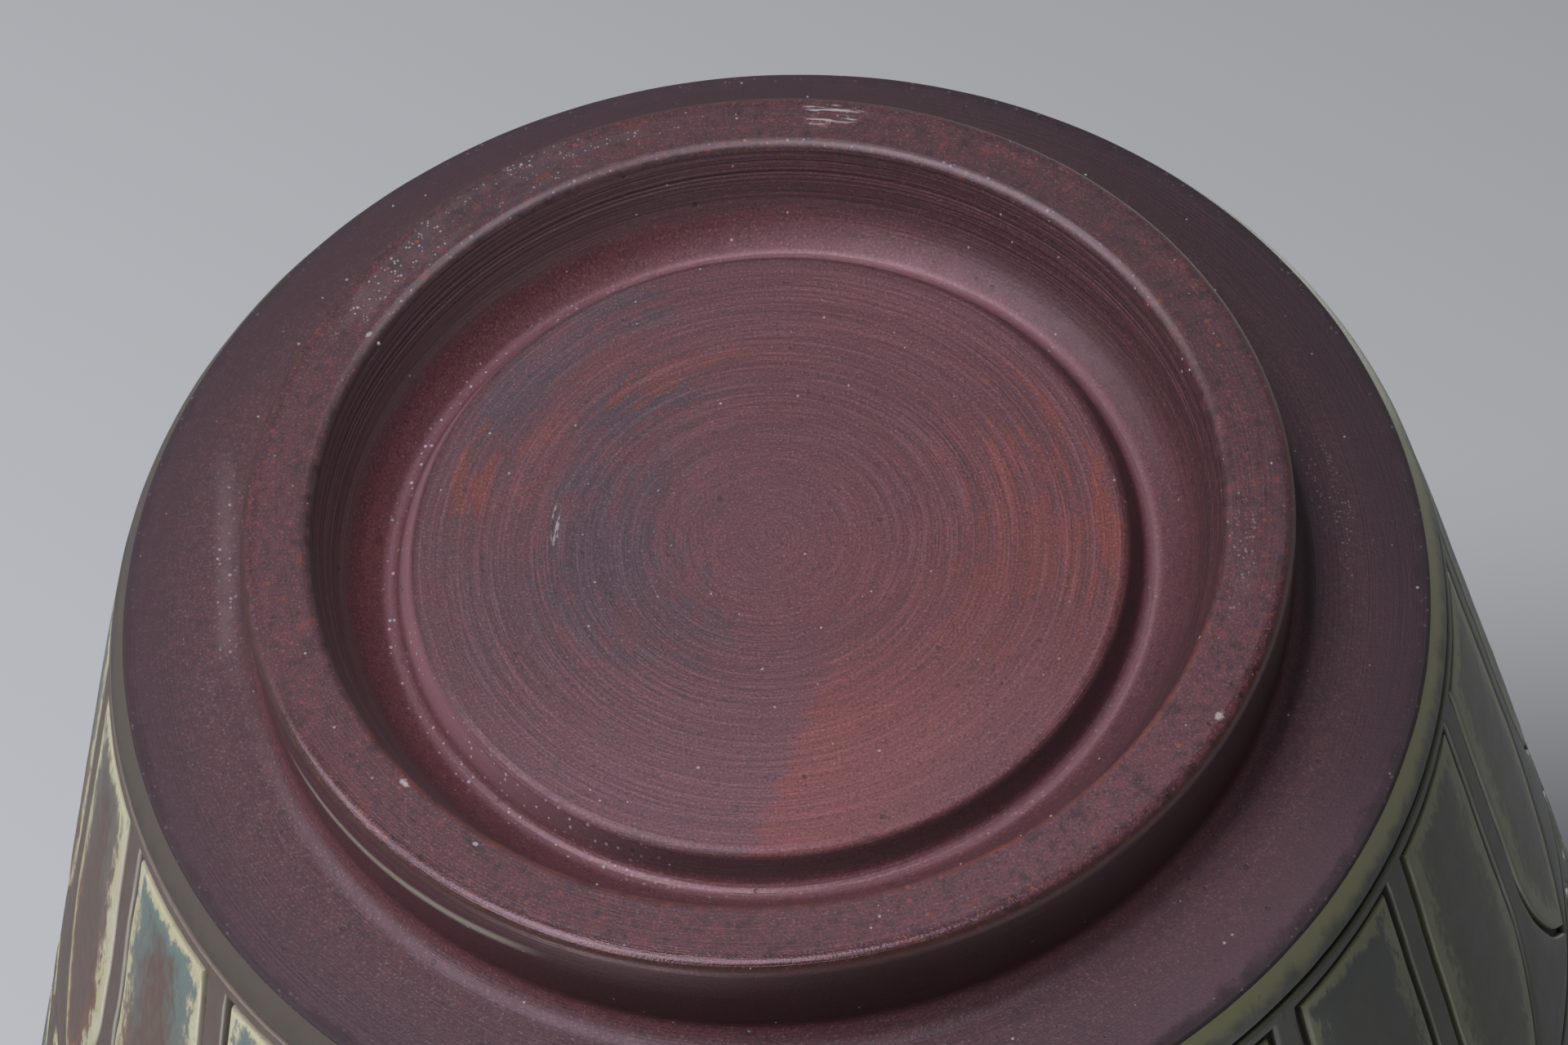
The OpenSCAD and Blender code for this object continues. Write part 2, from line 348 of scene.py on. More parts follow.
def bakeTree(obj, tree, settings):
    modifier = obj.modifiers.new(tree.name, "NODES")
    modifier.node_group = tree
    for item in tree.interface.items_tree:
        if item.in_out == "INPUT" and item.name in settings:
            modifier[item.identifier] = settings[item.name]
    graph = bpy.context.evaluated_depsgraph_get()
    mesh = bpy.data.meshes.new_from_object(obj.evaluated_get(graph), preserve_all_data_layers=True,
                                           depsgraph=graph)
    obj.modifiers.remove(modifier)
    source = obj.data
    obj.data = mesh
    bpy.data.meshes.remove(source)
    mesh.name = obj.name
    work = bmesh.new()
    work.from_mesh(mesh)
    bmesh.ops.recalc_face_normals(work, faces=work.faces)
    work.to_mesh(mesh)
    work.free()
    mesh.set_sharp_from_angle(angle=sharpAngle)
    print("made", obj.name, len(mesh.polygons), "faces")
    return obj


def seat(obj, slotName, *nodes):
    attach(obj, "root")
    if nodes:
        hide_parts(*nodes)


# Colours, written as they look on screen
def paint(red, green, blue):
    def linear(c):
        c /= 255
        return c / 12.92 if c <= 0.04045 else ((c + 0.055) / 1.055) ** 2.4
    return linear(red), linear(green), linear(blue), 1.0


def mix(fac, a, b):
    return put(fac.tree, "ShaderNodeMix", {0: fac, 6: a, 7: b}, 2, data_type="RGBA")


def shaderGroup(name, outputName, **inputs):
    sockets = {"Position": ("Vector", None)}
    sockets.update({label.replace("_", " "): ("Float", value) for label, value in inputs.items()})
    return newGroup(name, "ShaderNodeTree", sockets, outputName, "Float")


# Shader group: rings left by the turning tool, broken here and there
def makeTurningLines():
    tree, given, result = shaderGroup("turningLines", "Line", Pitch=0.5 * mm, Breaks=3.0)
    x, y, z = axes(given["Position"])
    radius = fromAxis(x, y)
    share = given["Breaks"] / (radius + 0.1 * mm)
    spot = vector(tree, (radius + z * 1.7) / given["Pitch"], x * share, y * share)
    plug(result, noise(spot, 1.0).ease(0.25, 0.75))
    return tree


# Shader group: scattered specks, some share of the cells holding one
def makeSpecks():
    tree, given, result = shaderGroup("specks", "Mask", Cell=1 * mm, Share=0.1, Size=0.25)
    cells = {"Vector": given["Position"], "Scale": given["Cell"].math("POWER", -1.0)}
    distance = put(tree, "ShaderNodeTexVoronoi", cells, "Distance")
    pick = put(tree, "ShaderNodeSeparateColor", {0: distance.other("Color")})
    reach = given["Size"] * (pick.other(1) + 0.4)
    plug(result, (distance / reach).ease(1.0, 0.6) * pick.math("LESS_THAN", given["Share"]))
    return tree


# Shader group: soft clouds between 0 and 1
def makeClouds():
    tree, given, result = shaderGroup("clouds", "Cloud", Size=10 * mm, Sharpness=0.5, Shift=0.0)
    billow = noise(added(given["Position"], given["Shift"]), given["Size"].math("POWER", -1.0), 5.0, 0.6)
    half = 0.5 - given["Sharpness"] * 0.4
    plug(result, billow.ease(0.5 - half, half + 0.5))
    return tree


# Shader group: a patch bent round the axis, its edge broken by a given noise
def makeFirePatch():
    tree, given, result = shaderGroup("firePatch", "Mask", Noise=0.5, Radius=20 * mm, Angle=0.0,
                                      Half_length=8 * mm, Half_width=3 * mm, Ragged=1.0)
    turn = {"Vector": given["Position"], "Angle": given["Angle"] * -1.0}
    facing = put(tree, "ShaderNodeVectorRotate", turn, rotation_type="Z_AXIS")
    x, y, _ = axes(facing)
    u = y.math("ARCTAN2", x) * given["Radius"] / given["Half length"]
    v = (fromAxis(x, y) - given["Radius"]) / given["Half width"]
    rough = (given["Noise"] - 0.5) * given["Ragged"] * 2.0
    plug(result, (fromAxis(u, v) + rough).ease(1.15, 0.45))
    return tree


# Shader group: which side of the vase a point is on, cream and brown or olive
def makeSideOfKiln():
    tree, given, result = shaderGroup("sideOfKiln", "Olive")
    x = axes(given["Position"])[0]
    drift = (noise(given["Position"], 25.0, 3.0) - 0.5) * 60 * mm
    plug(result, (x + drift).over(22, -26))
    return tree


# Shader group: upright streaks, as glaze runs
def makeRuns():
    tree, given, result = shaderGroup("glazeRuns", "Run", Width=1 * mm, Stretch=5.0)
    x, y, z = axes(given["Position"])
    spot = vector(tree, x, y, z / given["Stretch"])
    plug(result, noise(spot, given["Width"].math("POWER", -1.0), 4.0, 0.6).ease(0.25, 0.75))
    return tree


turningLines = makeTurningLines()
specks = makeSpecks()
clouds = makeClouds()
firePatch = makeFirePatch()
sideOfKiln = makeSideOfKiln()
glazeRuns = makeRuns()


def use(group, position, **values):
    node = position.tree.nodes.new("ShaderNodeGroup")
    node.node_tree = group
    plug(node.inputs["Position"], position)
    for name, value in values.items():
        plug(node.inputs[name.replace("_", " ")], value)
    return Wire(node.outputs[0])


def newMaterial(name):
    material = bpy.data.materials.new(name)
    material.use_nodes = True
    tree = material.node_tree
    tree.nodes.clear()
    shader = tree.nodes.new("ShaderNodeBsdfPrincipled")
    put(tree, "ShaderNodeOutputMaterial", {"Surface": Wire(shader.outputs[0])})
    return material, shader.inputs, put(tree, "ShaderNodeTexCoord", take="Object")


def setBump(shader, height, depth, strength):
    sockets = {"Height": height, "Distance": depth, "Strength": strength}
    plug(shader["Normal"], put(height.tree, "ShaderNodeBump", sockets))


# Bare clay of the foot and underside: one material, with a tone for each zone
clayTones = {
    "plum": paint(102, 64, 73), "red": paint(114, 64, 66), "slate": paint(74, 67, 77),
    "rust": paint(142, 67, 50), "dark": paint(45, 36, 38), "chalk": paint(196, 188, 190),
    "ember": paint(160, 84, 62), "shelf": paint(69, 45, 50), "shelfDeep": paint(46, 34, 38),
    # the worn tone is laid on the rubbed bore edge and as painted glints
    "arris": paint(50, 44, 48), "burnt": paint(64, 42, 32), "worn": paint(184, 172, 180),
    "line": paint(30, 27, 28), "deepBrown": paint(40, 24, 21), "face": paint(75, 44, 48),
    # the pale pink tone is laid only where a highlight is painted on
    "paintedSheen": paint(158, 116, 130), "creamStreak": paint(192, 188, 172), "paleGrey": paint(116, 102, 106),
}
clayRings = {   # inner radius, outer radius and softness, mm
    "slope": (32.8, 34.0, 0.35), "groove": (34.4, 35.6, 0.4), "lowCove": (36.0, 38.6, 0.6),
    "cove": (36.2, 41.3, 0.5), "bore": (38.6, 41.3, 0.5), "rusty": (41.0, 41.7, 0.3),
    "rim": (41.4, 42.0, 0.25), "footEdge": (45.9, 47.3, 0.4), "creamStreak": (47.0, 48.2, 0.3),
    "outside": (47.2, 48.2, 0.3),
}
clayPatches = {   # radius mm, angle deg, half length mm, half width mm, strength
    "slate": [(20.7, 53, 9, 4.5, 0.85), (15.7, 1, 13, 6.5, 0.8), (12, -27, 9, 5, 0.6),
              (29, 48, 15, 3.2, 0.85), (26, -12, 10, 5, 0.45)],
    "flash": [(28.2, 20, 5, 2.0, 0.8), (23.5, 34, 7, 2.4, 0.4), (21.5, 66, 9, 1.3, 0.6),
              (26, 56, 6, 2, 0.3), (24, 184, 12, 6, 0.6), (30.6, 182, 8, 1.3, 0.9),
              (29, 160, 6, 1.5, 0.5), (21, -150, 9, 5, 0.55)],
    "scuff": [(19.5, 15, 2.0, 0.6, 0.8), (44.7, 102.9, 2.6, 1.2, 1.0)],
    "speck": [(43.6, 38, 4, 1.6, 0.9), (44.3, 48, 4, 1.7, 0.9), (45.4, 66, 8, 1.6, 0.7),
              (52.8, 178, 7, 2, 0.35), (43.2, -167, 5, 1.2, 0.4)],
    "dark": [(45.2, 60, 9, 2.4, 0.6), (44.6, 140, 12, 3, 0.35), (45.6, 170, 12, 2, 0.4),
             (42.5, -50.2, 1, 0.6, 1.0)],
    "white": [(41.95, -37.7, 0.6, 0.32, 1.0), (46.0, -144.3, 0.6, 0.42, 0.9),
              (42.45, -49.8, 0.3, 0.18, 0.9), (42.0, 33.3, 0.35, 0.25, 0.9)],
}
# where the cream streak, a painted highlight, lies on the foot's outside
creamStreakMark = {"angle": math.radians(-42), "lean": 0.08, "height": 1.75 * mm}
rustWedge = {"topX": -3.1 * mm, "topY": -15.1 * mm, "footX": 3.1 * mm, "footY": -29.6 * mm,
             "reach": 24 * mm, "ragged": 3.2 * mm}


def patched(position, rough, ragged, name):
    cover = 0.0
    for radius, angle, halfLength, halfWidth, strength in clayPatches[name]:
        patch = use(firePatch, position, Noise=rough, Ragged=ragged, Radius=radius * mm,
                    Angle=math.radians(angle), Half_length=halfLength * mm, Half_width=halfWidth * mm)
        cover = (patch * strength).most(cover)
    return cover


# A wedge of rust below the middle of the disc: a clear edge on one side, fading on the other
def wedgeMask(x, y, rough):
    edgeX = rustWedge["footX"] - rustWedge["topX"]
    edgeY = rustWedge["footY"] - rustWedge["topY"]
    length = math.hypot(edgeX, edgeY)
    away = (x - rustWedge["topX"]) * (edgeY / length) + (y - rustWedge["topY"]) * (-edgeX / length)
    crisp = (away + (rough - 0.5) * rustWedge["ragged"]).over(-0.6, 1.4)
    return crisp * away.ease(rustWedge["reach"], 1 * mm) * y.over(-7, -21)


def makeTurnedClay():
    material, shader, position = newMaterial("turnedClay")
    x, y, z = axes(position)
    radius = fromAxis(x, y)
    line = use(turningLines, position, Pitch=0.38 * mm, Breaks=1.2)
    fine = use(turningLines, position, Pitch=0.17 * mm, Breaks=3.0)
    broad = use(turningLines, position, Pitch=3 * mm, Breaks=0.8)
    ring = use(turningLines, position, Pitch=1.1 * mm, Breaks=1.0)
    mottle = use(clouds, position, Size=2.2 * mm, Sharpness=0.5, Shift=0.3)
    grain = noise(position, 4200.0)
    blotch = noise(position, 1300.0, 4.0, 0.75)
    stain = noise(position, 520.0, 4.0, 0.7)
    smudge = use(turningLines, position, Pitch=1.3 * mm, Breaks=4.0)
    streak = smudge * 0.5 + noise(position, 800.0, 4.0, 0.7) * 0.5

    def inRing(name):
        return radius.band(*clayRings[name])

    onDisc = radius.over(33.0, 32.5)
    onSlope = inRing("slope")
    inGroove = inRing("groove")
    inBore = inRing("bore")
    onFace = z.over(0.9, 0.4)
    onShelf = radius.over(47.4, 49.0)
    onWall = z.over(12.1, 12.5)
    sunny = (x + y).over(-24, 30)

    # Fired colour: plum to red, slate and rust on the disc, darker on the shelf; the face darker towards
    # the far side, with a painted highlight on its near −x part
    cloud = use(clouds, position, Size=22 * mm, Sharpness=0.5)
    colour = mix(cloud * 0.6 + broad * 0.4, clayTones["plum"], clayTones["red"])

    def lay(tone, cover):
        nonlocal colour
        colour = mix(cover, colour, clayTones[tone])

    slate = patched(position, streak, 1.3, "slate").most(x.over(-12, 16) * mottle * 0.45)
    lay("slate", slate * onDisc)
    rust = patched(position, streak, 1.6, "flash").most(wedgeMask(x, y, streak) * 0.92)
    glow = x.over(4, -22) * y.over(14, -10) * (mottle * 0.5 + 0.5)
    lay("rust", rust.most(glow * 0.36) * onDisc)
    lay("face", onFace * 0.9)
    lay("dark", onFace * y.over(-34, 40) * 0.36)
    lay("paintedSheen", onFace * x.over(10, -25) * y.over(-5, -35) * 0.12)
    lay("dark", onFace * x.over(10, 30) * y.over(10, 30) * 0.3)
    lay("shelf", onShelf * 0.94)
    lay("red", mottle * (onShelf * 0.2 + onFace * 0.3))

    # Tool lines, deepest up the inside of the foot and weak in the middle of the disc; painted glints on
    # the crests of the lines and a painted sheen on the near part of the disc
    discWeight = onDisc * radius.over(3, 17, -0.06, 0.16)
    weight = inBore * 0.6 + discWeight - onShelf * 0.22 - onFace * 0.12 + 0.34
    lined = onDisc * radius.over(4, 18, 0.3, 1.0)
    lay("dark", (1.0 - line * 0.65 - fine * 0.35) * weight)
    lay("dark", (1.0 - ring) * lined * 0.2)
    lay("paintedSheen", onDisc * y.over(-8, -27) * 0.15)
    lay("dark", (1.0 - ring) * onShelf * 0.25)
    lay("paintedSheen", (line * 0.6 + fine * 0.4).ease(0.45, 0.95) * lined * 0.18)

    # Grain and blotches; then painted shade, painted highlights and a painted shadow in the groove, the
    # cove and on the shelf, the bore greyer, and patches and stains on the face
    lay("dark", grain.ease(0.52, 0.28) * 0.6)
    lay("chalk", grain.ease(0.55, 0.75) * 0.17)
    lay("dark", blotch.ease(0.49, 0.3) * (onFace * 0.5 + onShelf * 0.4 + 0.5))
    lay("red", blotch.ease(0.52, 0.7) * (onFace * 0.35 + onShelf * 0.1 + 0.3))
    # the bore greyer, most towards +x: partly its own grey, partly painted fill light on the side of the
    # bore that lies in shade
    lay("paleGrey", inBore * x.over(-30, 36) * 0.55)
    # painted shade: the cove darker towards −x, and its low part darker towards −x and the far side
    lay("dark", inRing("cove") * x.over(24, -34) * 0.3)
    lay("dark", inRing("lowCove") * x.over(-12, -30) * y.over(2, 16) * 0.4)
    # painted shade on the groove's slope facing away from the light, painted highlight in the groove and on
    # the slope facing the light
    lay("dark", onSlope * (1.0 - sunny) * 0.75)
    lit = inGroove * (x.over(0, -30) * 0.25 + sunny * 0.15 + 0.2)
    lay("paintedSheen", lit.most(onSlope * sunny * 0.85))
    # the shelf darker towards far −x, towards the arris and towards the far side
    lay("shelfDeep", onShelf * ((y - x).over(-40, 70) * 0.4 + radius.over(52, 58.4) * 0.66))
    lay("deepBrown", onShelf * y.over(4, 44) * 0.25)
    lay("slate", onShelf * y.over(-32, -54) * 0.14)
    # painted highlight on the shelf towards near −x, and the foot's painted shadow on the shelf beside it
    # towards −x
    lay("paintedSheen", onShelf * x.over(-12, -34) * y.over(-22, -38) * 0.1)
    lay("line", onShelf * x.over(-18, -46) * radius.over(54, 49) * y.over(-24, -4) * 0.75)
    lay("arris", patched(position, streak, 2.2, "dark") * onFace)
    lay("line", stain.ease(0.47, 0.36) * onFace * 0.55)
    lay("rust", stain.ease(0.56, 0.68) * onFace * 0.32)

    # Edges: burnt line round the foot, painted shade on the foot's outside, darkest towards −x, rubbed bore
    # edge with a painted highlight on the far side, rusty bore, dark arris, black clay behind the glaze
    lay("burnt", radius.over(46.7, 47.1) * z.over(2.2, 1.2) * (mottle * 0.5 + 0.45))
    outside = inRing("outside") * z.band(1.2, 10, 0.8)
    # painted shade on the foot's outside, darkest towards −x
    lay("deepBrown", outside * x.over(40, 14, 0.3, 0.82))
    lay("burnt", outside * x.over(14, -20) * mottle * 0.6)
    # the bore's rubbed edge, lighter on the far side only: wear and a painted highlight
    rubbedSheen = inRing("rim") * z.over(1.2, 0.7) * y.over(0, 30)
    lay("worn", rubbedSheen * line * 0.35)
    lay("rust", inRing("rusty") * y.over(-8, -28) * z.over(1.6, 0.9) * mottle * 0.5)
    arris = (radius + (mottle - 0.5) * 0.8 * mm).over(58.6, 59.6)
    lay("arris", arris * 0.85)
    lay("line", (radius + (mottle - 0.5) * 1.2 * mm).over(58.2, 59.2) * x.over(0, -30) * 0.8)
    lay("line", onWall * 0.95)

    # A cream streak on the foot's outside, a painted highlight coloured like a smear of glaze, and a pale
    # scrape on the shelf, partly a painted sheen
    creamStreakTop = x * creamStreakMark["lean"] + creamStreakMark["height"]
    around = x * math.cos(creamStreakMark["angle"]) + y * math.sin(creamStreakMark["angle"])
    creamStreak = (z - creamStreakTop).band(-0.5, 0.5, 0.4) * around.over(44.3, 46.6)
    creamStreak = creamStreak * inRing("creamStreak") * x.over(0, 5)
    lay("creamStreak", creamStreak * 0.85)
    # a pale scrape on the shelf next to the foot's cove, partly a painted sheen
    scrapeSheen = x.band(49.7, 51.2, 0.7) * y.band(-3, 18, 4) * onShelf

    # Specks and scuffs, and painted glints in the groove, on the rubbed edge, the scrape and the arris
    flecks = use(clouds, position, Size=7 * mm, Sharpness=0.7, Shift=0.9) * onFace
    ember = use(specks, position, Cell=0.7 * mm, Share=0.24, Size=0.3) * (flecks * 0.8 + 0.08)
    chalk = use(specks, position, Cell=0.8 * mm, Share=0.045, Size=0.17)
    pits = use(specks, position, Cell=1.3 * mm, Share=0.06, Size=0.2)
    scratch = use(specks, position, Cell=0.3 * mm, Share=0.4, Size=0.4)
    strokes = use(turningLines, position, Pitch=0.3 * mm, Breaks=12.0).ease(0.5, 0.8)
    smear = patched(position, streak, 2.2, "speck")
    scuff = patched(position, streak, 2.2, "scuff") * (scratch * 0.5).most(strokes)
    scuff = scuff.most(smear * scratch).most(patched(position, blotch, 1.6, "white"))
    sparkling = (onSlope + inGroove) * x.over(8, 26) * 1.4 + inGroove * 0.3 + rubbedSheen * 0.8
    sparkling = sparkling + scrapeSheen + arris * 0.2
    shine = use(specks, position, Cell=0.5 * mm, Share=0.3, Size=0.32) * sparkling
    lay("paleGrey", smear * onFace * mottle * 0.35)
    lay("paleGrey", scrapeSheen * (mottle * 0.4 + 0.15))
    lay("ember", ember * 0.7)
    lay("dark", pits * 0.6)
    # painted glints, laid in the worn tone
    lay("worn", shine * 0.7)
    lay("chalk", (chalk * 0.6).most(scuff * 0.7))
    plug(shader["Base Color"], colour)

    # Satin clay, smoother in the groove and on the foot's near edge
    footEdge = inRing("footEdge") * z.over(2.0, 1.2)
    polish = inGroove * 0.19 + creamStreak * 0.2 + footEdge * y.over(0, -24, -0.25, 0.28) - arris * 0.25
    plug(shader["Roughness"], mottle * 0.09 + line * 0.04 - polish + onWall * 0.2 + 0.42)
    plug(shader["Specular IOR Level"], 0.75)
    plug(shader["Specular Tint"], (1.0, 0.72, 0.88, 1.0))
    height = line * weight + fine * 0.25 + grain * 0.7 - pits * 0.8 + shine * 0.6 + chalk * 0.6
    setBump(shader, height, 0.05 * mm, 0.75)
    return material


# Dark, grainy clay at the bottom of the incised lines
def makeLineClay():
    material, shader, position = newMaterial("lineClay")
    cloud = use(clouds, position, Size=0.7 * mm, Sharpness=0.7)
    grit = use(specks, position, Cell=0.5 * mm, Share=0.4, Size=0.4)
    colour = mix(cloud, paint(28, 24, 26), paint(58, 46, 45))
    plug(shader["Base Color"], mix(grit * 0.6, colour, paint(20, 17, 19)))
    plug(shader["Roughness"], cloud.ease(0.0, 1.0, 0.55, 0.8))
    setBump(shader, cloud + grit, 0.15 * mm, 0.9)
    return material


# Glaze colours: the cream and brown side, then the olive side
glazeTones = {
    "ground": (paint(110, 100, 95), paint(78, 78, 68)),
    "groundDeep": (paint(94, 79, 75), paint(64, 64, 56)),
    "rim": (paint(208, 205, 184), paint(136, 137, 108)),
    "rimWarm": (paint(192, 188, 152), paint(120, 120, 90)),
    "halo": (paint(132, 98, 84), paint(88, 85, 68)),
    "core": (paint(112, 101, 96), paint(82, 82, 70)),
    "coreDeep": (paint(104, 82, 75), paint(68, 68, 58)),
    "pool": (paint(112, 134, 134), paint(58, 65, 64)),
    "edge": (paint(150, 138, 120), paint(118, 118, 94)),
    "band": (paint(88, 80, 75), paint(122, 121, 94)),
    "bandLow": (paint(78, 70, 66), paint(66, 69, 65)),
    "coat": (paint(122, 112, 92), paint(98, 100, 74)),
    "coatDeep": (paint(88, 68, 58), paint(70, 78, 68)),
    "haze": (paint(176, 168, 134), paint(140, 140, 106)),
    "lip": (paint(98, 60, 46), paint(94, 66, 48)),
}


def sided(olive, name):
    return mix(olive, *glazeTones[name])


def glazeFinish(shader, position, colour, rough):
    dust = use(specks, position, Cell=0.8 * mm, Share=0.1, Size=0.2)
    cloud = use(clouds, position, Size=5 * mm, Sharpness=0.4, Shift=0.2)
    ripple = noise(position, 420.0, 3.0)
    plug(shader["Base Color"], mix(dust * 0.3, colour, paint(58, 48, 42)))
    plug(shader["Roughness"], cloud * 0.12 + rough)
    plug(shader["Coat Weight"], 0.1)
    plug(shader["Coat Roughness"], 0.3)
    setBump(shader, ripple - dust * 0.15, 0.05 * mm, 0.5)


def attribute(tree, name):
    return put(tree, "ShaderNodeAttribute", take="Fac", attribute_name=name)


def makeGroundGlaze():
    material, shader, position = newMaterial("groundGlaze")
    olive = use(sideOfKiln, position)
    cloud = use(clouds, position, Size=9 * mm, Sharpness=0.5)
    run = use(glazeRuns, position, Width=1.2 * mm, Stretch=6.0)
    colour = mix((cloud + run) * 0.5, sided(olive, "ground"), sided(olive, "groundDeep"))
    edge = attribute(position.tree, "rim").over(0.4, 0.1)
    colour = mix(edge * 0.25, colour, sided(olive, "edge"))
    glazeFinish(shader, position, colour, 0.4)
    return material


# A field: cream where the glaze gathers at the rim, a warm halo, a grey core, bluish where it pools
def makeFieldGlaze(name, rimW, poolLow, poolHigh):
    material, shader, position = newMaterial(name)
    olive = use(sideOfKiln, position)
    rim = attribute(position.tree, "rim")
    tint = attribute(position.tree, "tint")
    run = use(glazeRuns, position, Width=0.9 * mm, Stretch=6.0)
    thread = use(glazeRuns, position, Width=0.3 * mm, Stretch=8.0)
    cloud = use(clouds, position, Size=6 * mm, Sharpness=0.5)
    inward = rim + ((run - 0.5) * 1.1 + (thread - 0.5) * 0.5 + (tint - 0.5) * 0.9) * rimW
    pale = mix(cloud, sided(olive, "rim"), sided(olive, "rimWarm"))
    deep = mix(run * 0.6 + thread * 0.4, sided(olive, "core"), sided(olive, "coreDeep"))
    colour = mix(inward.ease(0.5 * rimW, 1.3 * rimW), pale, sided(olive, "halo"))
    colour = mix(inward.ease(1.0 * rimW, 2.2 * rimW), colour, deep)
    low = axes(position)[2].ease(poolHigh, poolLow)
    within = inward.ease(0.5 * rimW, 1.2 * rimW) * inward.ease(3.4 * rimW, 1.4 * rimW)
    colour = mix(low * within * tint.ease(0.2, 0.7) * 0.9, colour, sided(olive, "pool"))
    colour = mix(rim.over(0.3, 0.1) * 0.45, colour, sided(olive, "coreDeep"))
    glazeFinish(shader, position, colour, 0.36)
    return material


def makeBandGlaze():
    material, shader, position = newMaterial("plainBandGlaze")
    olive = use(sideOfKiln, position)
    run = use(glazeRuns, position, Width=2.5 * mm, Stretch=2.0)
    height = axes(position)[2] + (run - 0.5) * 1.6 * mm
    colour = mix(height.over(13.2, 15.4), sided(olive, "band"), sided(olive, "bandLow"))
    glazeFinish(shader, position, colour, 0.42)
    return material


def makeCoatGlaze(name, lipLow, lipHigh):
    material, shader, position = newMaterial(name)
    olive = use(sideOfKiln, position)
    cloud = use(clouds, position, Size=16 * mm, Sharpness=0.6)
    run = use(glazeRuns, position, Width=2.2 * mm, Stretch=7.0)
    thread = use(glazeRuns, position, Width=0.6 * mm, Stretch=10.0)
    colour = mix((cloud + run) * 0.5, sided(olive, "coat"), sided(olive, "coatDeep"))
    haze = use(clouds, position, Size=24 * mm, Sharpness=0.7, Shift=0.6) * thread
    colour = mix(haze * 0.7, colour, sided(olive, "haze"))
    worn = (axes(position)[2] + (run - 0.5) * 2.5 * mm).ease(lipLow, lipHigh)
    colour = mix(worn, colour, sided(olive, "lip"))
    glazeFinish(shader, position, colour, 0.36)
    return material


def makeGritMaterial():
    material, shader, position = newMaterial("kilnGrit")
    cloud = use(clouds, position, Size=0.5 * mm, Sharpness=0.5)
    plug(shader["Base Color"], mix(cloud, paint(208, 202, 200), paint(140, 128, 128)))
    plug(shader["Roughness"], cloud.ease(0.0, 1.0, 0.25, 0.5))
    return material


turnedClay = makeTurnedClay()
lineClay = makeLineClay()
groundGlaze = makeGroundGlaze()
petalGlaze = makeFieldGlaze("petalGlaze", 1.9 * mm, 20 * mm, 52 * mm)
beadGlaze = makeFieldGlaze("beadGlaze", 0.9 * mm, 60 * mm, 100 * mm)
reedGlaze = makeFieldGlaze("reedGlaze", 1.0 * mm, 90 * mm, 130 * mm)
bandGlaze = makeBandGlaze()
# the shoulder has no lip, so its limits lie above the vase
shoulderGlaze = makeCoatGlaze("shoulderGlaze", 400 * mm, 500 * mm)
neckGlaze = makeCoatGlaze("neckGlaze", 232 * mm, 238.5 * mm)
linerGlaze = makeCoatGlaze("linerGlaze", 230 * mm, 240 * mm)
gritMaterial = makeGritMaterial()
print("materials made")


# Foot ring and base, turned from one piece of clay; the two meet where the foot is luted on
footSizes = {"outerR": 47.5 * mm, "boreR": 41.25 * mm, "height": 12 * mm, "draft": 20,
             "edgeR": 1.2 * mm, "boreEdgeR": 0.9 * mm, "coveR": 2.5 * mm}
boreMarks = [   # height, depth, half width of the tool's scratches
    (1.7 * mm, 0.03 * mm, 0.14 * mm), (2.3 * mm, 0.04 * mm, 0.15 * mm), (2.9 * mm, 0.09 * mm, 0.18 * mm),
    (3.25 * mm, 0.07 * mm, 0.15 * mm), (4.1 * mm, 0.03 * mm, 0.14 * mm),
]
baseSizes = {"edgeR": 60 * mm, "arrisR": 0.3 * mm, "discH": 6.2 * mm, "discR": 31.9 * mm,
             "discEdgeR": 1.2 * mm, "grooveR": 35.05 * mm, "grooveDepth": 3.1 * mm,
             "grooveInR": 1.2 * mm, "grooveOutR": 1.4 * mm, "grooveTurn": 26,
             "floorH": 20 * mm, "floorFilletR": 10 * mm, "wallH": 8 * mm}
wallSizes = {"flare": 15.3, "thickness": 7 * mm, "bellyH": 160 * mm}
lean = math.radians(wallSizes["flare"])


def wallPoint(s, o):
    return (baseSizes["edgeR"] + s * math.sin(lean) + o * math.cos(lean),
            footSizes["height"] + s * math.cos(lean) - o * math.sin(lean))


draft = math.radians(footSizes["draft"])
boreTurn = footSizes["boreEdgeR"] / math.tan(math.radians(45 + footSizes["draft"] / 2))
boreCentre = (footSizes["boreR"] + boreTurn, footSizes["boreEdgeR"])
grooveTurn = math.radians(baseSizes["grooveTurn"])
grooveH = baseSizes["discH"] + baseSizes["grooveDepth"]
sweepStart = (baseSizes["grooveR"] + baseSizes["grooveOutR"] * math.sin(grooveTurn),
              grooveH - baseSizes["grooveOutR"] * (1 - math.cos(grooveTurn)))
sweepRun = math.cos(draft) - math.sin(grooveTurn)
sweepRise = math.cos(grooveTurn) - math.sin(draft)
# the sweep from the groove up to the foot is as large as makes it meet the bore's draft
sweepR = ((footSizes["boreR"] - sweepStart[1] * math.tan(draft) - sweepStart[0])
          / (sweepRun - sweepRise * math.tan(draft)))
sweepCentre = (sweepStart[0] - sweepR * math.sin(grooveTurn),
               sweepStart[1] - sweepR * math.cos(grooveTurn))
jointR = sweepStart[0] + sweepR * sweepRun
jointZ = sweepStart[1] - sweepR * sweepRise
filletRise = baseSizes["floorH"] + baseSizes["floorFilletR"] - footSizes["height"]
filletIn = wallSizes["thickness"] + baseSizes["floorFilletR"]
filletS = (filletRise - filletIn * math.sin(lean)) / math.cos(lean)
filletCentre = wallPoint(filletS, -filletIn)
baseJointS = filletS + baseSizes["wallH"]


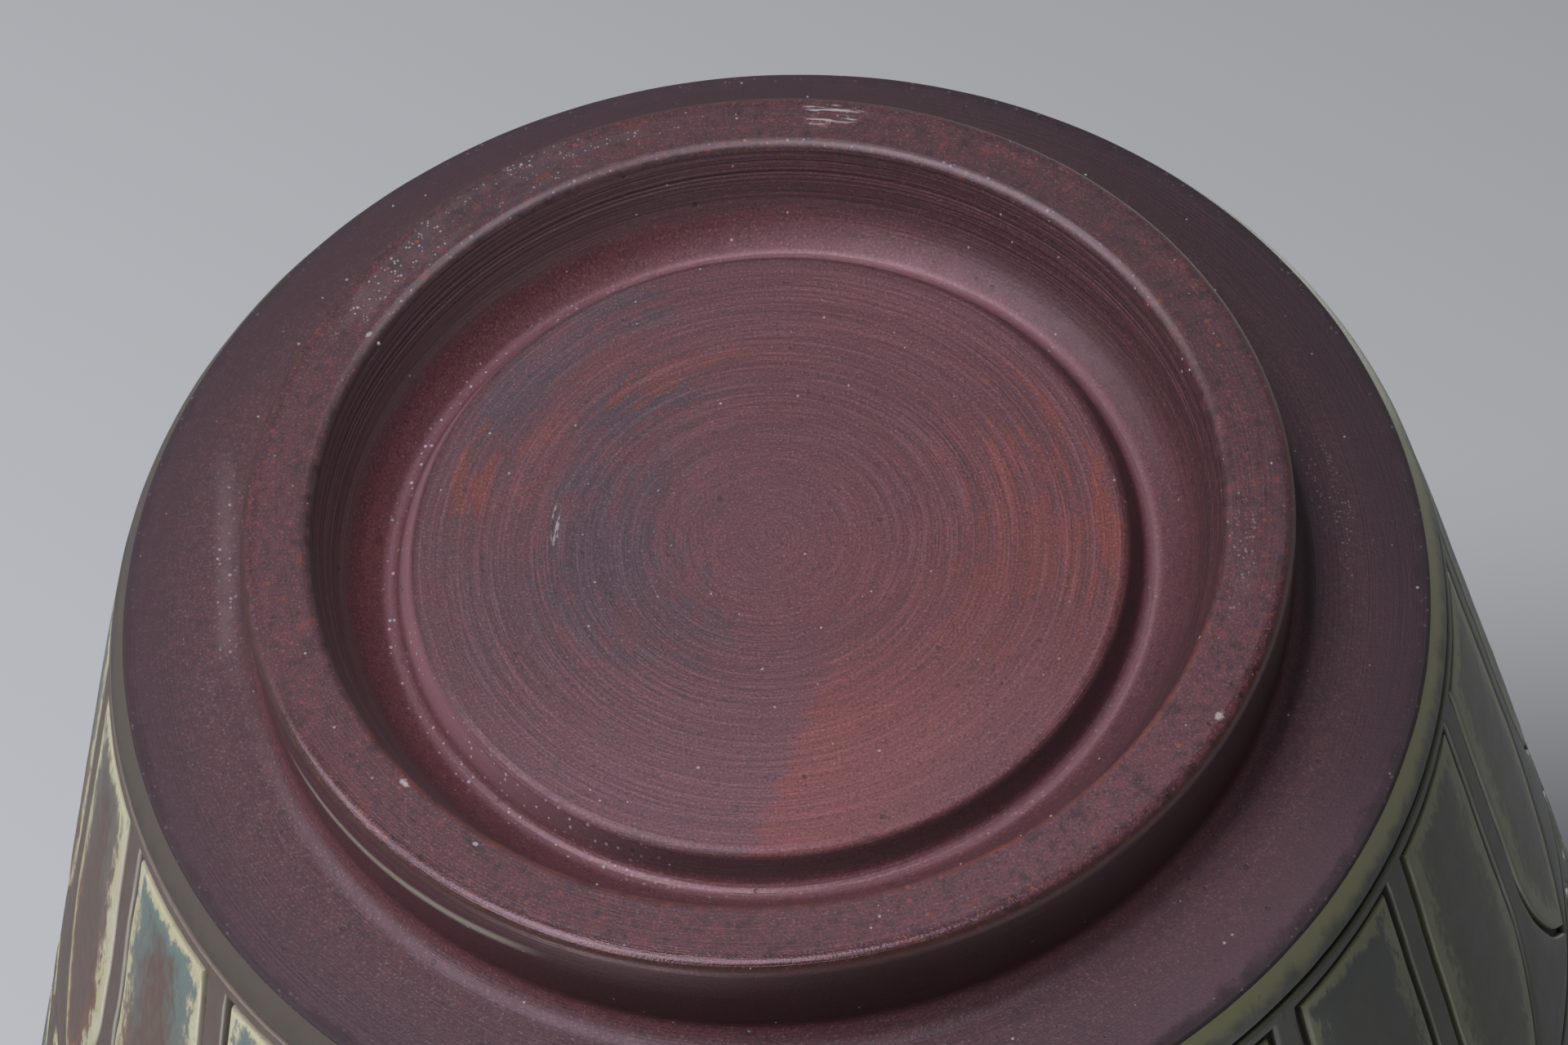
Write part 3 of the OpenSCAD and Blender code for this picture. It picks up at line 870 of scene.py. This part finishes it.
def footOutline():
    sizes = footSizes
    edgeCentre = (sizes["outerR"] - sizes["edgeR"], sizes["edgeR"])
    inner = arcPath(boreCentre, sizes["boreEdgeR"], 180 + sizes["draft"], 270, 0.1 * mm)
    outer = arcPath(edgeCentre, sizes["edgeR"], -90, 0, 0.12 * mm)
    middle = ((jointR + sizes["outerR"]) / 2, jointZ)
    return [hidden([middle, (jointR, jointZ)]),
            shown(scored(linePath((jointR, jointZ), inner[0], 0.09 * mm), boreMarks), 1.0),
            shown(inner, 0.4),
            shown(linePath(inner[-1], outer[0], 0.2 * mm), 0.25),
            shown(outer, 0.3),
            shown(linePath(outer[-1], (sizes["outerR"], jointZ), 0.25 * mm), 0.4),
            hidden([(sizes["outerR"], jointZ), middle])]


def baseOutline():
    sizes = baseSizes
    turns = sizes["discEdgeR"] + sizes["grooveInR"]
    reach = sizes["grooveR"] - sizes["discR"]
    steep = 2 * math.degrees(math.atan2(sizes["grooveDepth"], reach))
    for _ in range(20):     # the slope that touches both the disc's edge and the groove's hollow
        run = reach - turns * math.sin(math.radians(steep))
        rise = sizes["grooveDepth"] - turns * (1 - math.cos(math.radians(steep)))
        steep = (steep + math.degrees(math.atan2(rise, run))) / 2
    discEdgeCentre = (sizes["discR"], sizes["discH"] + sizes["discEdgeR"])
    discEdge = arcPath(discEdgeCentre, sizes["discEdgeR"], -90, steep - 90, 0.1 * mm)
    hollowCentre = (sizes["grooveR"], grooveH - sizes["grooveInR"])
    hollow = arcPath(hollowCentre, sizes["grooveInR"], 90 + steep, 90, 0.12 * mm)
    turnUpCentre = (sizes["grooveR"], grooveH - sizes["grooveOutR"])
    turnUp = arcPath(turnUpCentre, sizes["grooveOutR"], 90, 90 - sizes["grooveTurn"], 0.1 * mm)
    sweep = arcPath(sweepCentre, sweepR, 90 - sizes["grooveTurn"], footSizes["draft"], 0.14 * mm)
    footCoveCentre = (footSizes["outerR"] + footSizes["coveR"], footSizes["height"] - footSizes["coveR"])
    footCove = arcPath(footCoveCentre, footSizes["coveR"], 180, 90, 0.2 * mm)
    arrisIn = sizes["edgeR"] - sizes["arrisR"] / math.tan(math.radians((90 + wallSizes["flare"]) / 2))
    arrisCentre = (arrisIn, footSizes["height"] + sizes["arrisR"])
    arris = arcPath(arrisCentre, sizes["arrisR"], -90, -wallSizes["flare"], 0.06 * mm)
    wallTop = wallPoint(baseJointS, 0)
    inside = [wallTop, wallPoint(baseJointS, -wallSizes["thickness"])]
    inside += arcPath(filletCentre, sizes["floorFilletR"], -wallSizes["flare"], -90, 1 * mm)
    inside += [(0.0, sizes["floorH"])]
    return [shown(linePath((0.0, sizes["discH"]), discEdge[0], 0.2 * mm), 0.5),
            shown(discEdge, 0.2),
            shown(linePath(discEdge[-1], hollow[0], 0.1 * mm), 0.1),
            shown(hollow, 0.2),
            shown(turnUp, 0.2),
            shown(sweep, 0.4),
            hidden(linePath((jointR, jointZ), (footSizes["outerR"], jointZ), 4 * mm)),
            shown(linePath((footSizes["outerR"], jointZ), footCove[0], 0.25 * mm), 0.4),
            shown(footCove, 0.4),
            shown(linePath(footCove[-1], arris[0], 0.25 * mm), 0.3),
            shown(arris, 0.0),
            shown(linePath(arris[-1], wallTop, 1 * mm), 0.0),
            hidden(inside)]


def turnPiece(name, outline, finish, slotName, nodeName):
    piece = bakeTree(outlineObject(name, outline), wheelTree, finish)
    seat(piece, slotName, nodeName)


footFinish = {"Segments": 288, "Ridge depth": 0.12 * mm, "Ridge pitch": 0.55 * mm, "Ridge breaks": 1.4,
              "Wobble depth": 0.12 * mm, "Wobble scale": 110.0, "Seed": 4.0, "Material": turnedClay}
baseFinish = {"Segments": 256, "Ridge depth": 0.08 * mm, "Ridge pitch": 0.6 * mm, "Ridge breaks": 1.6,
              "Wobble depth": 0.12 * mm, "Wobble scale": 110.0, "Seed": 4.0, "Material": turnedClay}
turnPiece("turnedFoot", footOutline(), footFinish, "bare_clay", "foot_ring")
turnPiece("turnedBase", baseOutline(), baseFinish, "bare_clay", "base_section")
for nodeName in ("wall_section", "shoulder_section", "neck_section"):
    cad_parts[nodeName].data.materials.clear()
    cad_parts[nodeName].data.materials.append(lineClay)
print("clay made")


# Glaze on the straight wall: separate fields with rounded edges, parted by incised lines
coatSizes = {"thickness": 0.8 * mm, "liner": 0.6 * mm, "bareEdge": 0.8 * mm, "lineW": 1 * mm,
             "plainBandH": 3.2 * mm, "margin": 1.2 * mm, "root": -0.15 * mm, "edgeReach": 0.3 * mm,
             "creep": 0.16 * mm, "thinEdge": 2.6 * mm}
edgeSteps = [0.0, 0.03 * mm, 0.09 * mm, 0.18 * mm, 0.3 * mm]
petalSizes = {"count": 22, "space": 2.6 * mm, "sideH": 32 * mm, "archH": 25 * mm, "spineLow": 6 * mm,
              "spineHigh": 8 * mm, "footSteps": 5, "sideSteps": 16, "topSteps": 6}
beadSizes = {"diameter": 6.5 * mm, "space": 3 * mm, "halfSteps": 14, "footSteps": 4, "topSteps": 4}
reedSizes = {"width": 6.5 * mm, "height": 36 * mm, "space": 3.2 * mm, "endSteps": 7, "sideSteps": 8,
             "footSteps": 4, "topSteps": 4}

lineMargin = coatSizes["lineW"] + coatSizes["margin"]
petalBandS = coatSizes["bareEdge"] + coatSizes["plainBandH"] + coatSizes["lineW"]
petalS = petalBandS + lineMargin
petalBandEndS = petalS + petalSizes["sideH"] + petalSizes["archH"] + lineMargin
beadBandS = petalBandEndS + coatSizes["lineW"]
beadS = beadBandS + lineMargin + beadSizes["diameter"] / 2
beadBandEndS = beadS + beadSizes["diameter"] / 2 + lineMargin
reedBandS = beadBandEndS + coatSizes["lineW"]
reedS = reedBandS + lineMargin
reedBandEndS = reedS + reedSizes["height"] + lineMargin
shoulderCoatS = reedBandEndS + coatSizes["lineW"]


def pitchAt(s, count):
    return math.tau * wallPoint(s, 0)[0] / count


def evenCount(s, width, space):
    return 2 * math.floor(pitchAt(s, 2) / (width + 2 * coatSizes["lineW"] + space))


beadCount = evenCount(beadS, beadSizes["diameter"], beadSizes["space"])
reedCount = evenCount(reedS, reedSizes["width"], reedSizes["space"])


def edgeHeight(distance):
    share = min(1.0, distance / coatSizes["edgeReach"])
    return coatSizes["thickness"] * math.sqrt(1 - (1 - share) ** 2)


def bothSides(right):
    return right + [(-x, y) for x, y in reversed(right[1:-1])]


# Right halves of the outlines, from the middle of the foot round to the top, each grown by a distance
def petalOutline(grow):
    lineW, space = coatSizes["lineW"], petalSizes["space"]
    footW = pitchAt(petalS, petalSizes["count"]) - 2 * lineW - space
    fullW = pitchAt(petalS + petalSizes["sideH"], petalSizes["count"]) - 2 * lineW - space
    archC = (petalSizes["archH"] ** 2 - fullW ** 2 / 4) / fullW
    archR = archC + fullW / 2 + grow
    tip = math.acos(archC / archR)
    low, high = petalS - grow, petalS + petalSizes["sideH"]
    corner, full = footW / 2 + grow, fullW / 2 + grow
    footSteps, steps = petalSizes["footSteps"], petalSizes["sideSteps"]
    foot = [(corner * i / footSteps, low) for i in range(footSteps + 1)]
    side = [(corner + (full - corner) * i / steps, low + (high - low) * i / steps)
            for i in range(1, steps + 1)]
    arch = [(archR * math.cos(tip * i / steps) - archC, high + archR * math.sin(tip * i / steps))
            for i in range(1, steps + 1)]
    arch[-1] = (0.0, arch[-1][1])
    return foot + side + arch


def beadOutline(grow):
    radius = beadSizes["diameter"] / 2 + grow
    steps = beadSizes["halfSteps"]
    return [(radius * math.sin(math.pi * i / steps) if 0 < i < steps else 0.0,
             beadS - radius * math.cos(math.pi * i / steps)) for i in range(steps + 1)]


def reedOutline(grow):
    radius = reedSizes["width"] / 2 + grow
    low = reedS + reedSizes["width"] / 2
    high = reedS + reedSizes["height"] - reedSizes["width"] / 2
    steps, rise = reedSizes["endSteps"], reedSizes["sideSteps"]
    turns = [math.pi / 2 * i / steps for i in range(steps + 1)]
    foot = [(radius * math.sin(turn), low - radius * math.cos(turn)) for turn in turns]
    side = [(radius, low + (high - low) * i / rise) for i in range(1, rise)]
    return foot + side + [(x, low + high - y) for x, y in reversed(foot)]


# Rows of points on the wall, skinned into a tile
class TileMesh:
    def __init__(self):
        self.spots, self.rims, self.lifts, self.faces = [], [], [], []

    def addRow(self, points, height, rim):
        first = len(self.spots)
        for x, s in points:
            r, z = wallPoint(s, height)
            turn = math.atan2(x, wallPoint(s, 0)[0])
            self.spots.append((r * math.cos(turn), r * math.sin(turn), z))
            self.rims.append(rim)
            self.lifts.append(max(0.0, height / coatSizes["thickness"]))
        return list(range(first, first + len(points)))

    def skin(self, rows, wrap):
        for low, high in zip(rows, rows[1:]):
            count = len(low)
            for i in range(count if wrap else count - 1):
                j = (i + 1) % count
                self.faces.append((low[i], low[j], high[j], high[i]))

    def finish(self, name):
        mesh = bpy.data.meshes.new(name)
        mesh.from_pydata(self.spots, [], self.faces)
        storeValues(mesh, "rim", self.rims)
        storeValues(mesh, "lift", self.lifts)
        work = bmesh.new()
        work.from_mesh(mesh)
        bmesh.ops.remove_doubles(work, verts=work.verts, dist=sameGap)
        work.to_mesh(mesh)
        work.free()
        return newObject(name, mesh)


# One ornament: rounded edge, gentle crown, closed underneath
def fieldTile(name, outline, spineLow, spineHigh, insets, crown):
    tile = TileMesh()
    creep, root = coatSizes["creep"], coatSizes["root"]
    edge = bothSides(outline(creep))
    spine = [(0.0, min(max(y, spineLow), spineHigh)) for _, y in edge]
    rows = [tile.addRow(spine, root, 0.0), tile.addRow(edge, root, 0.0)]
    deepest = insets[-1]
    for inset in edgeSteps + insets:
        swell = crown * math.sin(min(1.0, inset / deepest) * math.pi / 2)
        rows.append(tile.addRow(bothSides(outline(creep - inset)), edgeHeight(inset) + swell, inset))
    rows.append(tile.addRow(spine, coatSizes["thickness"] + crown, deepest * 1.3))
    tile.skin(rows, True)
    return tile.finish(name)


# Ground round one ornament, up to its neighbours and to the band's two edges
def groundTile(name, outline, count, bandS, bandEndS, sizes):
    tile = TileMesh()
    footCount, topCount = sizes["footSteps"], sizes["topSteps"]
    reach, root, creep = coatSizes["edgeReach"], coatSizes["root"], coatSizes["creep"]
    startS, endS = bandS - creep, bandEndS + creep
    low, high = startS + reach, endS - reach
    line = coatSizes["lineW"] - creep
    sideCount = len(outline(0.0)) - 1 - footCount - topCount

    def sideX(s):
        return wallPoint(s, 0)[0] * math.tan(math.pi / count)

    border = [(sideX(low) * i / footCount, low) for i in range(footCount + 1)]
    border += [(sideX(low + (high - low) * i / sideCount), low + (high - low) * i / sideCount)
               for i in range(1, sideCount + 1)]
    border += [(sideX(high) * (1 - i / topCount), high) for i in range(1, topCount + 1)]
    border = bothSides(border)
    rows = [tile.addRow(border, root, reach), tile.addRow(bothSides(outline(line)), root, 0.0)]
    for step in edgeSteps:
        rows.append(tile.addRow(bothSides(outline(line + step)), edgeHeight(step), step))
    last = bothSides(outline(line + reach))
    for share in (0.25, 0.5, 0.75, 1.0):
        midway = [(a[0] + (b[0] - a[0]) * share, a[1] + (b[1] - a[1]) * share)
                  for a, b in zip(last, border)]
        rows.append(tile.addRow(midway, coatSizes["thickness"], reach * (1 + share)))
    tile.skin(rows, True)
    for edgeS, innerS, away, steps in ((startS, low, 1, footCount), (endS, high, -1, topCount)):
        across = [i / steps for i in range(-steps, steps + 1)]
        levels = [(edgeS + away * step, edgeHeight(step), step) for step in reversed(edgeSteps)]
        levels[0] = (innerS, coatSizes["thickness"], 2 * reach)
        levels += [(edgeS, root, 0.0), (innerS, root, reach)]
        strip = [tile.addRow([(sideX(s) * a, s) for a in across], height, rim)
                 for s, height, rim in levels]
        tile.skin(strip, False)
    return tile.finish(name)


def ringFinish(count, seed, material):
    return {"Count": count, "Wander": 0.7 * mm, "Wander scale": 70.0, "Swell": 0.15 * mm,
            "Swell scale": 260.0, "Lean": lean, "Seed": seed, "Material": material}


petalSpine = (petalS + petalSizes["spineLow"], petalS + petalSizes["sideH"] + petalSizes["spineHigh"])
reedSpine = (reedS + reedSizes["width"] / 2, reedS + reedSizes["height"] - reedSizes["width"] / 2)
petalInsets = [0.7 * mm, 1.4 * mm, 2.2 * mm, 3.2 * mm, 4.4 * mm, 5.6 * mm]
smallInsets = [0.7 * mm, 1.5 * mm, 2.4 * mm]
# name, sizes, outline, spine, insets, count, seed, glaze, slot, start and end of the band
bands = [
    ("petal", petalSizes, petalOutline, petalSpine, petalInsets, petalSizes["count"], 3,
     petalGlaze, "cream_glaze", petalBandS, petalBandEndS),
    ("bead", beadSizes, beadOutline, (beadS, beadS), smallInsets, beadCount, 5,
     beadGlaze, "cream_glaze", beadBandS, beadBandEndS),
    ("reed", reedSizes, reedOutline, reedSpine, smallInsets, reedCount, 7,
     reedGlaze, "olive_glaze", reedBandS, reedBandEndS),
]
fieldCrown = 0.15 * mm
for band in bands:
    name, sizes, outline, spine, insets, count, seed, glaze, slotName, startS, endS = band
    fields = fieldTile(name + "Fields", outline, *spine, insets, fieldCrown)
    bakeTree(fields, ringTree, ringFinish(count, seed, glaze))
    seat(fields, slotName, name + "_glaze")
    ground = groundTile(name + "Ground", outline, count, startS, endS, sizes)
    bakeTree(ground, ringTree, ringFinish(count, seed, groundGlaze))
    seat(ground, "brown_glaze", name + "_ground_glaze")
print("fields made:", petalSizes["count"], "petals,", beadCount, "beads,", reedCount, "reeds")


# Turned coats: plain band, shoulder, neck and liner
shoulderSizes = {"radius": 38 * mm, "rise": 25}
neckSizes = {"outerR": 49 * mm, "coveR": 14 * mm, "height": 6 * mm, "lipR": 12 * mm, "lipTurn": 50}
shoulderEnd = 90 - shoulderSizes["rise"]
shoulderOut = (math.cos(math.radians(shoulderEnd)), math.sin(math.radians(shoulderEnd)))
bellyRise = wallSizes["bellyH"] - footSizes["height"]
shoulderOffset = (bellyRise * math.sin(lean) - shoulderSizes["radius"]) / math.cos(lean)
shoulderCentre = (baseSizes["edgeR"] + shoulderOffset, wallSizes["bellyH"])
wallEndS = (bellyRise - shoulderSizes["radius"] * math.sin(lean)) / math.cos(lean)
slopeReach = shoulderCentre[0] + shoulderSizes["radius"] * shoulderOut[0] - neckSizes["outerR"]
slopeLength = (slopeReach - neckSizes["coveR"] * (1 - shoulderOut[0])) / shoulderOut[1]


def slopePoint(length, o):
    away = shoulderSizes["radius"] + o
    return (shoulderCentre[0] + away * shoulderOut[0] - length * shoulderOut[1],
            shoulderCentre[1] + away * shoulderOut[1] + length * shoulderOut[0])


neckFoot = slopePoint(slopeLength, neckSizes["coveR"])
lipCentre = (neckSizes["outerR"] + neckSizes["lipR"], neckFoot[1] + neckSizes["height"])
lipEnd = 180 - neckSizes["lipTurn"]
lipMiddleR = neckSizes["lipR"] + wallSizes["thickness"] / 2
lipEndCentre = (lipCentre[0] + lipMiddleR * math.cos(math.radians(lipEnd)),
                lipCentre[1] + lipMiddleR * math.sin(math.radians(lipEnd)))


def shoulderPath(o, step):
    return arcPath(shoulderCentre, shoulderSizes["radius"] + o, -wallSizes["flare"], shoulderEnd, step)


def neckPath(o, step):
    return (arcPath(neckFoot, neckSizes["coveR"] - o, 180 + shoulderEnd, 180, step)
            + arcPath(lipCentre, neckSizes["lipR"] - o, 180, lipEnd, step))


def lipPath(o, step):
    return arcPath(lipEndCentre, wallSizes["thickness"] / 2 + o, lipEnd - 180, lipEnd, step)


def bandOutline():
    coat, root, creep = coatSizes["thickness"], coatSizes["root"], coatSizes["creep"]
    s0 = coatSizes["bareEdge"] - 2 * creep
    s1 = coatSizes["bareEdge"] + coatSizes["plainBandH"] + creep
    lowEdge = [wallPoint(s0 + coatSizes["thinEdge"] * share, coat * math.sin(share * math.pi / 2))
               for share in (0.0, 0.15, 0.3, 0.45, 0.6, 0.8, 1.0)]
    highEdge = [wallPoint(s1 - step, edgeHeight(step)) for step in reversed(edgeSteps)]
    middle = wallPoint((s0 + s1) / 2, root)
    return [hidden([middle, wallPoint(s0, root), lowEdge[0]]),
            shown(joined(lowEdge, linePath(lowEdge[-1], highEdge[0], 0.3 * mm), highEdge), 0.3),
            hidden([highEdge[-1], wallPoint(s1, root), middle])]


def shoulderOutline():
    coat, root, creep = coatSizes["thickness"], coatSizes["root"], coatSizes["creep"]
    start, end = shoulderCoatS - creep, slopeLength - coatSizes["lineW"] + creep
    lowEdge = [wallPoint(start + step, edgeHeight(step)) for step in edgeSteps]
    highEdge = [slopePoint(end - step, edgeHeight(step)) for step in reversed(edgeSteps)]
    arc = shoulderPath(coat, 1 * mm)
    face = joined(lowEdge, linePath(lowEdge[-1], wallPoint(wallEndS, coat), 1 * mm), arc,
                  linePath(arc[-1], highEdge[0], 1 * mm), highEdge)
    backWall = linePath(wallPoint(start, root), wallPoint(wallEndS, root), 6 * mm)
    back = joined(backWall, shoulderPath(root, 4 * mm), [slopePoint(end, root)])
    return [hidden([back[0], face[0]]), shown(face, 1.0), hidden([face[-1]] + back[::-1])]


def neckOutline():
    coat, root = coatSizes["thickness"], coatSizes["root"]
    outer = joined(neckPath(coat, 0.7 * mm))
    lip = joined([outer[-1]], lipPath(coat, 0.5 * mm))
    back = joined(neckPath(root, 2 * mm), lipPath(root, 1.5 * mm))
    return [hidden([back[0], outer[0]]), shown(outer, 1.0), shown(lip, 0.3),
            hidden([lip[-1]] + back[::-1])]


def linerOutline():
    wallT = wallSizes["thickness"]
    filletR = baseSizes["floorFilletR"] + wallT

    def insidePath(o, step):
        floor = arcPath(filletCentre, filletR + o, -90, -wallSizes["flare"], step)
        return joined(linePath((0.0, baseSizes["floorH"] - wallT - o), floor[0], step), floor,
                      linePath(floor[-1], wallPoint(wallEndS, o), step),
                      shoulderPath(o, step), neckPath(o, step))

    inner = insidePath(-wallT - coatSizes["liner"], 1 * mm)
    back = insidePath(-wallT - coatSizes["root"], 4 * mm)
    return [shown(inner[::-1], 1.0), hidden([inner[0]] + back + [inner[-1]])]


bandFinish = {"Segments": 256, "Ridge depth": 0.1 * mm, "Ridge pitch": 1.5 * mm, "Ridge breaks": 6.0,
              "Wobble depth": 0.16 * mm, "Wobble scale": 150.0, "Seed": 2.0, "Material": bandGlaze}
shoulderFinish = {"Segments": 224, "Ridge depth": 0.7 * mm, "Ridge pitch": 6 * mm, "Ridge breaks": 0.6,
                  "Wobble depth": 0.3 * mm, "Wobble scale": 60.0, "Seed": 6.0, "Material": shoulderGlaze}
neckFinish = {"Segments": 224, "Ridge depth": 0.5 * mm, "Ridge pitch": 4.5 * mm, "Ridge breaks": 0.6,
              "Wobble depth": 0.25 * mm, "Wobble scale": 70.0, "Seed": 8.0, "Material": neckGlaze}
linerFinish = {"Segments": 192, "Ridge depth": 0.9 * mm, "Ridge pitch": 8 * mm, "Ridge breaks": 0.5,
               "Wobble depth": 0.3 * mm, "Wobble scale": 50.0, "Seed": 9.0, "Material": linerGlaze}
turnPiece("plainBand", bandOutline(), bandFinish, "grey_glaze", "plain_band_glaze")
turnPiece("shoulderCoat", shoulderOutline(), shoulderFinish, "olive_glaze", "shoulder_glaze")
turnPiece("neckCoat", neckOutline(), neckFinish, "olive_glaze", "neck_glaze")
turnPiece("linerCoat", linerOutline(), linerFinish, "liner_glaze", "liner_glaze")
print("coats made")


# Kiln grit stuck to the foot
gritSizes = {"seed": 12, "count": 26, "small": 0.05 * mm, "large": 0.13 * mm,
             "boreEdge": (205, 245), "shelf": (50.4 * mm, 57.5 * mm)}
bigGrain = {"radius": 41.0 * mm, "angle": math.radians(33.3), "height": 0.75 * mm, "size": 0.3 * mm}


def makeGrit():
    draw = random.Random(gritSizes["seed"])
    grains = [(bigGrain["radius"], bigGrain["angle"], bigGrain["height"], bigGrain["size"])]
    for i in range(gritSizes["count"]):
        size = draw.uniform(gritSizes["small"], gritSizes["large"])
        if i % 2:
            edgeTurn = math.radians(draw.uniform(*gritSizes["boreEdge"]))
            r = boreCentre[0] + footSizes["boreEdgeR"] * math.cos(edgeTurn)
            z = boreCentre[1] + footSizes["boreEdgeR"] * math.sin(edgeTurn)
        else:
            r = draw.uniform(*gritSizes["shelf"])
            z = footSizes["height"]
        grains.append((r, draw.uniform(0, math.tau), z, size))
    mesh = bpy.data.meshes.new("kilnGrit")
    mesh.from_pydata([(r * math.cos(turn), r * math.sin(turn), z) for r, turn, z, size in grains], [], [])
    storeValues(mesh, "size", [size for r, turn, z, size in grains])
    return newObject("kilnGrit", mesh)


grit = bakeTree(makeGrit(), gritTree, {"Chipping": 0.8, "Seed": 4, "Material": gritMaterial})
seat(grit, "bare_clay")


# Camera: looks up at the foot from below, at the photograph's angle
photoView = {"lens": 100.0, "sensor": 36.0, "tilt": 55.72, "roll": -5.53, "distance": 404.09 * mm,
             "aim": (-1.57 * mm, 5.81 * mm, 12 * mm), "nearest": 10 * mm}


def makeCamera():
    tilt, roll = math.radians(photoView["tilt"]), math.radians(photoView["roll"])
    back = Vector((0.0, -math.cos(tilt), -math.sin(tilt)))
    level = Vector((-1.0, 0.0, 0.0))
    steep = Vector((0.0, math.sin(tilt), -math.cos(tilt)))
    right = level * math.cos(roll) + steep * math.sin(roll)
    up = steep * math.cos(roll) - level * math.sin(roll)
    data = bpy.data.cameras.new("photoCamera")
    data.lens = photoView["lens"]
    data.sensor_width = photoView["sensor"]
    data.clip_start = photoView["nearest"]
    camera = newObject("photoCamera", data)
    turn = Matrix((right, up, back)).transposed().to_4x4()
    place = Vector(photoView["aim"]) + back * photoView["distance"]
    camera.matrix_world = Matrix.Translation(place) @ turn
    scene.camera = camera
    return right, up, back


viewRight, viewUp, viewBack = makeCamera()


# Stage: a pale floor that shows only from above, soft lamps on both sides of it
stageSizes = {"floorR": 8.0, "floorTone": paint(205, 205, 206), "farLow": 0.35, "farHigh": 3.0,
              "farGlow": 0.2}
lamps = [   # name, direction, distance, size, watts
    ("keyBelow", (0.2, 0.0, -0.98), 1.2, 0.8, 7.0),
    ("leftBelow", (0.79, 0.0, -0.62), 1.2, 0.6, 4.2),
    ("frontBelow", (0.5, -0.36, -0.79), 1.2, 0.6, 4.0),
    ("farBelow", (0.12, 0.78, -0.62), 1.2, 0.8, 1.3),
    ("roomAbove", (0.45, -0.65, 0.72), 1.6, 1.0, 14.0),
    ("rightAbove", (-0.45, -0.55, 0.7), 1.6, 1.0, 3.0),
    ("backAbove", (-0.45, 0.85, 0.25), 2.2, 1.4, 11.0),
    ("topAbove", (0.0, 0.1, 0.99), 1.8, 1.2, 12.0),
]


def makeFloor():
    reach = stageSizes["floorR"]
    mesh = bpy.data.meshes.new("floor")
    corners = [(-reach, -reach, 0), (reach, -reach, 0), (reach, reach, 0), (-reach, reach, 0)]
    mesh.from_pydata(corners, [], [(0, 1, 2, 3)])
    floor = newObject("floor", mesh)
    material = bpy.data.materials.new("paleFloor")
    material.use_nodes = True
    tree = material.node_tree
    tree.nodes.clear()
    x, y, _ = axes(put(tree, "ShaderNodeTexCoord", take="Object"))
    glow = fromAxis(x, y).ease(stageSizes["farLow"], stageSizes["farHigh"]) * stageSizes["farGlow"]
    pale = put(tree, "ShaderNodeBsdfDiffuse", {"Color": stageSizes["floorTone"]})
    glowing = put(tree, "ShaderNodeEmission", {"Strength": glow})
    lit = put(tree, "ShaderNodeAddShader", {0: pale, 1: glowing})
    clear = put(tree, "ShaderNodeBsdfTransparent")
    under = put(tree, "ShaderNodeNewGeometry", take="Backfacing")
    whole = put(tree, "ShaderNodeMixShader", {0: under, 1: lit, 2: clear})
    put(tree, "ShaderNodeOutputMaterial", {"Surface": whole})
    mesh.materials.append(material)
    floor.visible_shadow = False
    floor.visible_diffuse = False
    floor.visible_glossy = False


def makeLamps():
    for name, direction, distance, size, watts in lamps:
        data = bpy.data.lights.new(name, "AREA")
        data.shape = "DISK"
        data.size = size
        data.energy = watts
        lamp = newObject(name, data)
        away = Vector(direction).normalized()
        lamp.location = away * distance
        lamp.rotation_mode = "QUATERNION"
        lamp.rotation_quaternion = (-away).to_track_quat("-Z", "Y")


# Backdrop seen directly and in reflections: grey, lighter to the left and darker to the lower right
backdrop = {"middle": 0.43, "across": -0.227, "upward": -0.369, "bend": -0.754, "cornerU": (0.0, 0.17),
            "cornerV": (0.02, -0.13), "ahead": (0.93, 0.97), "horizon": (-0.25, 0.0), "ceiling": (0.2, 0.6),
            "elsewhere": 0.5, "overhead": 0.4, "tint": (0.975, 1.0, 1.06, 1.0), "light": 0.06}


def makeWorld():
    world = bpy.data.worlds.new("studio")
    scene.world = world
    world.use_nodes = True
    tree = world.node_tree
    tree.nodes.clear()
    toward = put(tree, "ShaderNodeTexCoord", take="Generated")

    def along(direction):
        pair = {0: toward, 1: direction}
        return put(tree, "ShaderNodeVectorMath", pair, "Value", operation="DOT_PRODUCT")

    u, v = along(viewRight), along(viewUp)
    graded = u * backdrop["across"] + v * backdrop["upward"]
    graded = graded + v * v * backdrop["bend"] + backdrop["middle"]
    graded = graded * (1.0 - u.ease(*backdrop["cornerU"]) * v.ease(*backdrop["cornerV"]))
    ahead = along(-viewBack).ease(*backdrop["ahead"])
    height = axes(toward)[2]
    level = height.ease(*backdrop["horizon"], backdrop["light"], backdrop["elsewhere"])
    level = level * height.ease(*backdrop["ceiling"], 1.0, backdrop["overhead"])
    tone = (graded - level) * ahead + level
    seen = put(tree, "ShaderNodeBackground", {"Color": backdrop["tint"], "Strength": tone})
    white = (1.0, 1.0, 1.0, 1.0)
    light = put(tree, "ShaderNodeBackground", {"Color": white, "Strength": backdrop["light"]})
    path = put(tree, "ShaderNodeLightPath", take="Is Camera Ray")
    sight = path.most(path.other("Is Glossy Ray")).most(path.other("Is Transmission Ray"))
    whole = put(tree, "ShaderNodeMixShader", {0: sight, 1: light, 2: seen})
    put(tree, "ShaderNodeOutputWorld", {"Surface": whole})


makeFloor()
makeLamps()
makeWorld()
print("stage made")
